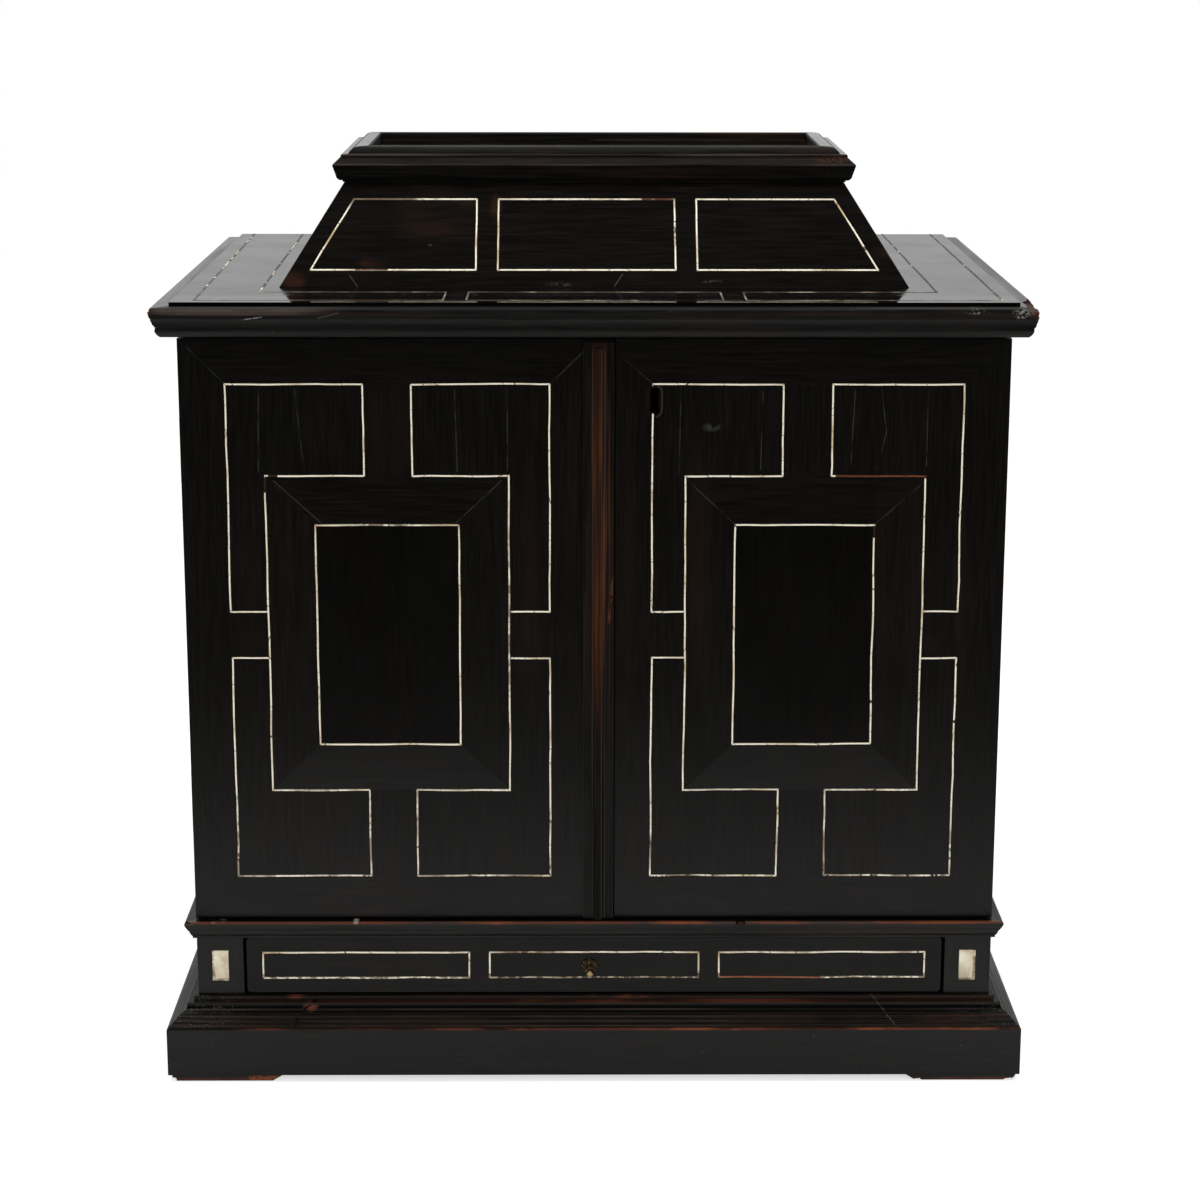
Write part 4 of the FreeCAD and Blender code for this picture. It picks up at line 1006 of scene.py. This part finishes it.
def tails(name, box, ends, joint, lap, count, body):
    """Dovetails: the sides of a drawer run into both ends of its front, a lap past the joint."""
    low, high = box[0].z + TAIL_EDGE * MM, box[1].z - TAIL_EDGE * MM
    space = (high - low) / count
    made = []
    for x in ends:
        for number in range(count):
            middle = low + space * (number + 0.5)
            tail = fresh(bpy.ops.mesh.primitive_cube_add, size=1, location=(x, joint - lap / 2, middle),
                         scale=(TAIL_DEPTH * MM, lap, space * TAIL_SHARE))
            pick(tail.data, "vertices",
                 [corner.index for corner in tail.data.vertices if corner.co.y < joint - lap / 2])
            with editing(tail, "VERT"):
                bpy.ops.transform.resize(value=(1, 1, TAIL_SPREAD), center_override=(x, joint, middle))
            tail.data.materials.append(finish("drawer_wood"))
            made.append(tail)
    joined(made, name + "_tails", body)


def screw_head(radius):
    """A slotted screw head at the origin, which faces +Y and stands a hair proud."""
    proud, sunk, rim = 0.15 * MM, 0.4 * MM, radius * 0.4
    slot_size = (radius * 2.4, 0.5 * MM, 0.45 * MM)
    head = fresh(bpy.ops.mesh.primitive_cylinder_add, vertices=20, radius=radius, depth=proud + sunk,
                 location=(0, (proud - sunk) / 2, 0), rotation=(math.pi / 2, 0, 0))
    pick(head.data, "polygons", outward(head.data, [OUT_BACK]))
    with editing(head):
        bpy.ops.mesh.inset(thickness=rim, depth=0.0)
        bpy.ops.transform.translate(value=(0, proud / 2, 0))
    slot = fresh(bpy.ops.mesh.primitive_cube_add, size=1, location=(0, proud, 0), scale=slot_size)
    modifier(head, "BOOLEAN", object=slot, operation="DIFFERENCE", solver="EXACT")
    bpy.data.objects.remove(slot)
    head.data.materials.append(finish("brass"))
    return head


def screws(name, places, facing, body):
    """Slotted screws at places on a face that looks along +Y or, with a facing of -1, along -Y."""
    head = screw_head(bpy.context.scene.cabinet_sizes.screw_radius)
    made = []
    for number, place in enumerate(places):
        copy = bpy.data.objects.new(name, head.data.copy())
        bpy.context.scene.collection.objects.link(copy)
        with editing(copy, "VERT"):
            bpy.ops.mesh.select_all(action="SELECT")
            bpy.ops.transform.rotate(value=SCREW_TURN * number, orient_axis="Y", center_override=(0, 0, 0))
            if facing < 0:
                bpy.ops.transform.rotate(value=math.pi, orient_axis="Z", center_override=(0, 0, 0))
            bpy.ops.transform.translate(value=place)
        made.append(copy)
    bpy.data.objects.remove(head)
    joined(made, name, body)


def slope_of(node):
    """The way that a sloping board faces, read from its widest triangle."""
    faces = [face for face in frame["nodes"][node].data.polygons if face.normal.z > 0.1]
    return max(faces, key=lambda face: face.area).normal.copy()


class CABINET_OT_plinth(bpy.types.Operator):
    """Plinth boards, their pads and the reeded moulding over them"""
    bl_idname = "cabinet.plinth"
    bl_label = "Plinth"

    def execute(self, context):
        sizes = context.scene.cabinet_sizes
        dressed("plinth_front", "plinth_ebony", "arris", arris=sizes.board_arris)
        dressed("plinth_left", "ebony_y", "arris_dark", arris=sizes.board_arris)
        dressed("plinth_right", "ebony_y", "arris_dark", arris=sizes.board_arris)
        low, high = box_of("plinth_feet")
        chips = [((low.x, low.y, 0), (4, 6, 3)), ((high.x, low.y, 1), (3, 5, 2.4)),
                 ((high.x - 5, low.y, 0), (4, 4, 1.6)), ((high.x - 70, low.y, 0), (3, 5, 1.4))]
        dressed("plinth_feet", "pad_wood", "arris", arris=sizes.board_arris, chips=chips)
        low, high = box_of("plinth_moulding")
        chips = [((high.x, low.y, low.z + 3), (2.2, 2.6, 1.6)), ((low.x, low.y, low.z + 9), (1.6, 2, 1.2))]
        dressed("plinth_moulding", "reeded_wood", "arris_dark", "side_wood", arris=sizes.moulding_arris,
                rule=side_lengths, chips=chips)
        dressed("plinth_back", "cedar", arris=sizes.board_arris)
        dressed("base_floor", "deck_cedar")
        return {"FINISHED"}


class CABINET_OT_frieze(bpy.types.Operator):
    """Blocks, plaques, guides and moulding of the frieze"""
    bl_idname = "cabinet.frieze"
    bl_label = "Frieze"

    def execute(self, context):
        sizes = context.scene.cabinet_sizes
        dressed("frieze_blocks", "ebony_z", "arris_dark", arris=sizes.board_arris)
        dressed("bone_plaques", "plaque_bone", "dirty_edge", border=[OUT_FRONT],
                sways=(("X", 0.6 * MM), ("Z", 0.6 * MM)))
        dressed("drawer_guides", "guide_wood")
        low, high = box_of("mid_moulding")
        chips = [((104.3, low.y, high.z - 0.4), (2.6, 1.6, 1.2)), ((low.x, low.y, high.z), (5.0, 3.0, 1.3))]
        dressed("mid_moulding", "nosing_wood", "arris_dark", "side_wood", arris=sizes.moulding_arris,
                rule=side_lengths, chips=chips)
        return {"FINISHED"}


class CABINET_OT_case(bpy.types.Operator):
    """Sides, back, floor and ceiling of the case, and the cornice and top"""
    bl_idname = "cabinet.case"
    bl_label = "Case"

    def execute(self, context):
        sizes = context.scene.cabinet_sizes
        for node, inwards in (("case_side_left", 1), ("case_side_right", -1)):
            dressed(node, "ebony_z", "arris_dark", "cedar", arris=sizes.board_arris,
                    rule=lambda face, number, size: 2 if face.normal.x * inwards > 0.9 else None)
        dressed("case_floor", "deck_cedar")
        dressed("case_top", "deck_cedar")
        dressed("case_back", "cedar")
        low, high = box_of("cornice_moulding")
        chips = [((high.x - 1.0, low.y + 12, high.z), (9.0, 34, 3.2)),
                 ((high.x - 1.0, low.y + 1, high.z - 3.0), (5.0, 7, 4.6)),
                 ((high.x, low.y + 3, high.z - 9), (2.0, 5, 2.6)),
                 ((high.x - 2, low.y + 3, high.z - 15), (2.0, 5, 2.6)),
                 ((low.x, low.y + 2, high.z - 1), (2.4, 6, 1.8)),
                 ((low.x, low.y + 2, high.z - 8), (1.8, 6, 2.4)),
                 ((low.x + 3, low.y + 2, high.z - 14), (2.0, 6, 2.2))]
        dressed("cornice_moulding", "cornice_wood", "arris_dark", "side_polish",
                arris=sizes.moulding_arris, rule=side_lengths, chips=chips)
        dressed("top_board", "top_ebony", "top_ebony", arris=sizes.top_arris, segments=4)
        dressed("top_stringing", "top_bone", "dirty_edge", border=[UP],
                sways=(("X", 1.4 * MM), ("Y", 1.0 * MM)))
        return {"FINISHED"}


class CABINET_OT_coffer(bpy.types.Operator):
    """Sloping boards of the coffer, its lines, moulding and tray"""
    bl_idname = "cabinet.coffer"
    bl_label = "Coffer"

    def execute(self, context):
        sizes = context.scene.cabinet_sizes
        for side in ("front", "back"):
            dressed("coffer_" + side, "coffer_ebony", "arris_dark", arris=sizes.moulding_arris)
        for side in ("left", "right"):
            dressed("coffer_" + side, "ebony_y", "arris_dark", arris=sizes.moulding_arris)
        slopes = [slope_of("coffer_" + side) for side in ("front", "back", "left", "right")]
        dressed("coffer_stringing", "coffer_bone", "dirty_edge", border=slopes, sways=(("X", 1.2 * MM),))
        dressed("tray_moulding", "tray_wood", "arris_dark", "tray_rim", arris=sizes.moulding_arris,
                rule=self.rim_of)
        dressed("tray_floor", "ebony_x")
        return {"FINISHED"}

    def rim_of(self, face, number, size):
        """The rim at the tray's two ends is polished where it looks up."""
        ends = 165 * MM
        return 2 if face.normal.z > 0.95 and abs(face.center.x) > ends else None


class CABINET_OT_doors(bpy.types.Operator):
    """Both doors: boards, borders, fields, frames, panels and bone lines, and the astragal"""
    bl_idname = "cabinet.doors"
    bl_label = "Doors"

    def execute(self, context):
        sizes = context.scene.cabinet_sizes
        for door in ("door_left", "door_right"):
            dressed(door + "_board", "door_ebony", "arris_dark", "cedar", arris=sizes.board_arris,
                    rule=lambda face, number, size: 2 if face.normal.y > 0.9 else None)
            for part in ("_border", "_frame"):
                dressed(door + part, "door_ebony", "arris_dark", "door_ebony_x", arris=sizes.facing_arris,
                        rule=self.level_strips)
            dressed(door + "_field", "door_ebony")
            dressed(door + "_panel", "panel_ebony", "arris_dark", arris=sizes.facing_arris)
            dressed(door + "_stringing", "door_bone", "dirty_edge", border=[OUT_FRONT],
                    sways=(("X", 1.6 * MM), ("Z", 1.3 * MM)))
        edge = box_of("astragal")[1].x
        chips = [((edge, Y_FACE - 1, height), (1.0, 1.6, length)) for height, length in
                 ((366, 9), (349, 7), (331, 8))]
        dressed("astragal", "astragal_wood", "arris_dark", arris=sizes.moulding_arris, chips=chips)
        return {"FINISHED"}

    def level_strips(self, face, number, size):
        """The strips that lie level take a finish whose grain runs along them."""
        return 2 if size.x > size.z and face.material_index == 0 else None


class CABINET_OT_drawer(bpy.types.Operator):
    """The long drawer in the frieze, with its lines and brass pull"""
    bl_idname = "cabinet.drawer"
    bl_label = "Long drawer"

    def execute(self, context):
        sizes = context.scene.cabinet_sizes
        dressed("base_drawer_front", "drawer_ebony", "arris_dark", arris=sizes.board_arris)
        dressed("base_drawer_stringing", "drawer_bone", "dirty_edge", border=[OUT_FRONT],
                sways=(("X", 1.0 * MM), ("Z", 1.6 * MM)))
        dressed("base_drawer_box", "drawer_wood", arris=sizes.moulding_arris)
        dressed("drawer_rosette", "dark_brass", arris=0.15 * MM, shortest=0.5 * MM)
        self.drop()
        self.petals()
        low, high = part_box("base_drawer_front")
        tails("base_drawer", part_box("base_drawer_box"), (low.x, high.x), high.y, LONG_LAP * MM, 2,
              BODY_OF["base_drawer_front"])
        return {"FINISHED"}

    def drop(self):
        """The brass drop: a dark stem and eye, and a round bob, bright from many hands."""
        bob_height = 5.8 * MM
        squat = 0.74
        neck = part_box("drawer_drop")[0].z + bob_height
        drop = dressed("drawer_drop", "dark_brass", "bright_brass")
        for face in drop.data.polygons:
            face.material_index = int(face.center.z < neck)
        pick(drop.data, "vertices", [corner.index for corner in drop.data.vertices if corner.co.z < neck])
        with editing(drop, "VERT"):
            bpy.ops.transform.resize(value=(1.0, 1.0, squat), center_override=(0, 0, neck))

    def petals(self):
        """Eight domed petals that overlap round the rosette's middle."""
        low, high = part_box("drawer_rosette")
        middle = (low + high) / 2
        reach = (high.x - low.x) / 2
        width, height, out = reach * 0.33, reach * 0.42, reach * 0.57
        proud, thick = 0.9, 1.1
        spot = Vector((middle.x, (Y_FACE - proud) * MM, middle.z))
        ring = fresh(bpy.ops.mesh.primitive_uv_sphere_add, segments=16, ring_count=10, radius=1.0)
        ring.name = "rosette_petals"
        with editing(ring, "VERT"):
            bpy.ops.mesh.select_all(action="SELECT")
            bpy.ops.transform.resize(value=(width, thick * MM, height), center_override=(0, 0, 0))
            bpy.ops.transform.translate(value=spot + UP * out)
            bpy.ops.mesh.spin(steps=8, angle=2 * math.pi, center=spot, axis=(0, 1, 0), dupli=True)
            bpy.ops.mesh.select_all(action="SELECT")
            bpy.ops.mesh.remove_doubles(threshold=WELD)
        ring.data.materials.append(finish("dark_brass"))
        even_shading(ring)
        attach(ring, BODY_OF["drawer_rosette"])


class CABINET_OT_nest(bpy.types.Operator):
    """Divider, shelves and eight small drawers behind the doors"""
    bl_idname = "cabinet.nest"
    bl_label = "Nest of drawers"

    def execute(self, context):
        sizes = context.scene.cabinet_sizes
        dressed("nest_divider", "cedar", arris=sizes.moulding_arris)
        dressed("nest_shelves", "cedar_x", arris=sizes.moulding_arris)
        for side in ("left", "right"):
            for number in (1, 2, 3, 4):
                node = "nest_drawer_%s_%d" % (side, number)
                drawer = dressed(node, "ebony_x", "drawer_wood", "brass", "bone",
                                 arris=sizes.moulding_arris, rule=self.finish_of)
                self.line(drawer, sizes.line_width)
                low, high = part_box(node)
                tails(drawer.name, (low, high - UP * NEST_SIDE_DROP * MM), (low.x, high.x),
                      (Y_FACE + NEST_JOINT) * MM, SHORT_LAP * MM, 3, BODY_OF[node])
        return {"FINISHED"}

    def finish_of(self, face, number, size):
        """The front is ebony, the knob brass and the rest plain wood."""
        return {0: 0, 5: 2}.get(number, 1)

    def line(self, drawer, width):
        """A bone line let in round the front, a little way in from its edges."""
        mesh = drawer.data
        fronts = [face for face in mesh.polygons if face.normal.y < -0.99 and face.material_index == 0]
        pick(mesh, "polygons", [max(fronts, key=lambda face: face.area).index])
        with editing(drawer):
            bpy.ops.mesh.inset(thickness=NEST_LINE_INSET * MM, depth=0.0)
            bpy.ops.mesh.inset(thickness=width, depth=0.0, use_select_inset=True)
        for index in picked(mesh):
            mesh.polygons[index].material_index = 3


class CABINET_OT_brassware(bpy.types.Operator):
    """Hinges, lock, bolt and keeper"""
    bl_idname = "cabinet.brassware"
    bl_label = "Brassware"

    def execute(self, context):
        for node in ("case_hinges", "door_left_hinges", "door_right_hinges", "lock_bolt", "lock_keeper"):
            dressed(node, "brass", **BRASS_EDGE)
        dressed("lock_case", "lock_brass", **BRASS_EDGE)
        low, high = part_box("lock_case")
        inset = LOCK_INSET * MM
        screws("lock_screws", [Vector((x, high.y, z)) for x in (low.x + inset, high.x - inset)
                               for z in (low.z + inset, high.z - inset)], 1, BODY_OF["lock_case"])
        self.hinge_screws()
        return {"FINISHED"}

    def hinge_screws(self):
        """Three screws in each leaf, on the doors and on the edges of the case."""
        low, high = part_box("case_hinges")
        middle = high.x - HINGE_INSET * MM
        heights = [start + step * MM for start in (low.z, high.z - HINGE_LEAF * MM)
                   for step in HINGE_SCREWS]
        for side, name in ((-1, "door_left"), (1, "door_right")):
            places = [Vector((side * middle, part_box(name + "_board")[1].y, height)) for height in heights]
            screws(name + "_hinge_screws", places, 1, BODY_OF[name + "_hinges"])
        places = [Vector((side * middle, Y_CASE * MM, height)) for side in (-1, 1) for height in heights]
        screws("case_hinge_screws", places, -1, BODY_OF["case_hinges"])


# Large soft lamps that stay out of reflections: name, place, pitch, size and power
LAMPS = (("soft_top", (0.0, -0.35, 1.9), 0, (1.8, 1.2), 18.0),
         ("soft_front", (0.3, -2.6, 1.3), math.radians(65), (2.4, 1.8), 22.0))

# The floor's place and size in metres, its colours far in front of the cabinet and near it, and how
# brightly it shows at both
FLOOR_PLACE = (0, 0.9, -0.0002)
FLOOR_SIZE = (5.0, 4.2, 1)
FLOOR_DARK, FLOOR_PALE, WHITE = (0.02, 0.02, 0.02, 1), (0.8, 0.8, 0.8, 1), (1, 1, 1, 1)
FLOOR_GLOW = (1.1, 0.6)

# How bright the surroundings look in reflections, from in front of the cabinet to behind it, and how
# much even light they give
SHINE = {"From Min": -0.35, "From Max": 0.15, "To Min": 0.03, "To Max": 0.76}
LIGHT_STRENGTH = 0.55

# The camera of the photograph, solved from the cabinet's own edges
CAMERA_PLACE = (-0.00769, -1.91851, 0.81352)
CAMERA_DOWN = math.radians(12.253)
CAMERA_ROLL = math.radians(-0.077)
CAMERA_YAW = math.radians(-0.358)
CAMERA_LENS = 77.545
CAMERA_SHIFT = -0.1


class CABINET_OT_stage(bpy.types.Operator):
    """Pale floor, soft light, white surroundings and the camera"""
    bl_idname = "cabinet.stage"
    bl_label = "Stage"

    def execute(self, context):
        scene = context.scene
        scene.view_settings.view_transform = "Standard"
        self.floor()
        self.world(scene)
        for lamp in LAMPS:
            self.lamp(*lamp)
        camera = bpy.data.cameras.new("camera")
        camera.lens = CAMERA_LENS
        camera.shift_y = CAMERA_SHIFT
        eye = bpy.data.objects.new("camera", camera)
        scene.collection.objects.link(eye)
        eye.location = CAMERA_PLACE
        eye.rotation_euler = (math.pi / 2 - CAMERA_DOWN, CAMERA_ROLL, CAMERA_YAW)
        scene.camera = eye
        return {"FINISHED"}

    def floor(self):
        """Pale paper that darkens to nothing a metre in front of the cabinet."""
        floor = fresh(bpy.ops.mesh.primitive_plane_add, size=1, location=FLOOR_PLACE)
        floor.name = "floor"
        with editing(floor):
            bpy.ops.mesh.select_all(action="SELECT")
            bpy.ops.transform.resize(value=FLOOR_SIZE, center_override=FLOOR_PLACE)
        look = Finish("paper", Roughness=0.9, Specular_IOR_Level=0.1)
        near = look.ramp(look.axis("Y"), -1000, -500)
        look.set(Base_Color=look.mix(near, FLOOR_DARK, FLOOR_PALE), Emission_Color=WHITE)
        path = look.add("ShaderNodeLightPath").outputs
        look.set(Emission_Strength=look.times(path["Is Camera Ray"],
                                              look.ramp(near, 0.0, 1.0, *FLOOR_GLOW)))
        floor.data.materials.append(look.material)

    def world(self, scene):
        """White behind the cabinet, dark in front of it for reflections, and an even light."""
        world = bpy.data.worlds.new("surroundings")
        world.use_nodes = True
        scene.world = world
        tree = world.node_tree
        path = add_node(tree, "ShaderNodeLightPath").outputs
        where = add_node(tree, "ShaderNodeTexCoord").outputs["Generated"]
        depth = add_node(tree, "ShaderNodeSeparateXYZ", {0: where}).outputs["Y"]
        behind = add_node(tree, "ShaderNodeMapRange", {"Value": depth, **SHINE}).outputs[0]
        shine = add_node(tree, "ShaderNodeMix", {0: path["Is Glossy Ray"], 2: LIGHT_STRENGTH, 3: behind})
        strength = add_node(tree, "ShaderNodeMix", {0: path["Is Camera Ray"], 2: shine.outputs[0], 3: 1.0})
        back = tree.nodes["Background"]
        feed(tree, back.inputs["Color"], WHITE)
        feed(tree, back.inputs["Strength"], strength.outputs[0])

    def lamp(self, name, place, pitch, size, power):
        """A soft rectangular lamp."""
        light = bpy.data.lights.new(name, "AREA")
        light.shape = "RECTANGLE"
        light.size, light.size_y = size
        light.energy = power
        lamp = bpy.data.objects.new(name, light)
        bpy.context.scene.collection.objects.link(lamp)
        lamp.location = place
        lamp.rotation_euler = (pitch, 0, 0)
        lamp.visible_glossy = False
        lamp.visible_camera = False


STEPS = (CABINET_OT_plinth, CABINET_OT_frieze, CABINET_OT_case, CABINET_OT_coffer, CABINET_OT_doors,
         CABINET_OT_drawer, CABINET_OT_nest, CABINET_OT_brassware, CABINET_OT_stage)


class CABINET_PT_steps(bpy.types.Panel):
    """Lists the cabinet's operators"""
    bl_idname = "CABINET_PT_steps"
    bl_label = "Inlaid cabinet"
    bl_space_type = "VIEW_3D"
    bl_region_type = "UI"
    bl_category = "Cabinet"

    def draw(self, context):
        for step in STEPS:
            self.layout.operator(step.bl_idname)


CLASSES = (CabinetSizes, CabinetColours, *STEPS, CABINET_PT_steps)


def register():
    for item in CLASSES:
        bpy.utils.register_class(item)
    bpy.types.Scene.cabinet_sizes = bpy.props.PointerProperty(type=CabinetSizes)
    bpy.types.Scene.cabinet_colours = bpy.props.PointerProperty(type=CabinetColours)


def unregister():
    del bpy.types.Scene.cabinet_colours
    del bpy.types.Scene.cabinet_sizes
    for item in reversed(CLASSES):
        bpy.utils.unregister_class(item)


def main():
    register()
    for step in STEPS:
        area, name = step.bl_idname.split(".")
        getattr(getattr(bpy.ops, area), name)()


if __name__ == "__main__":
    main()
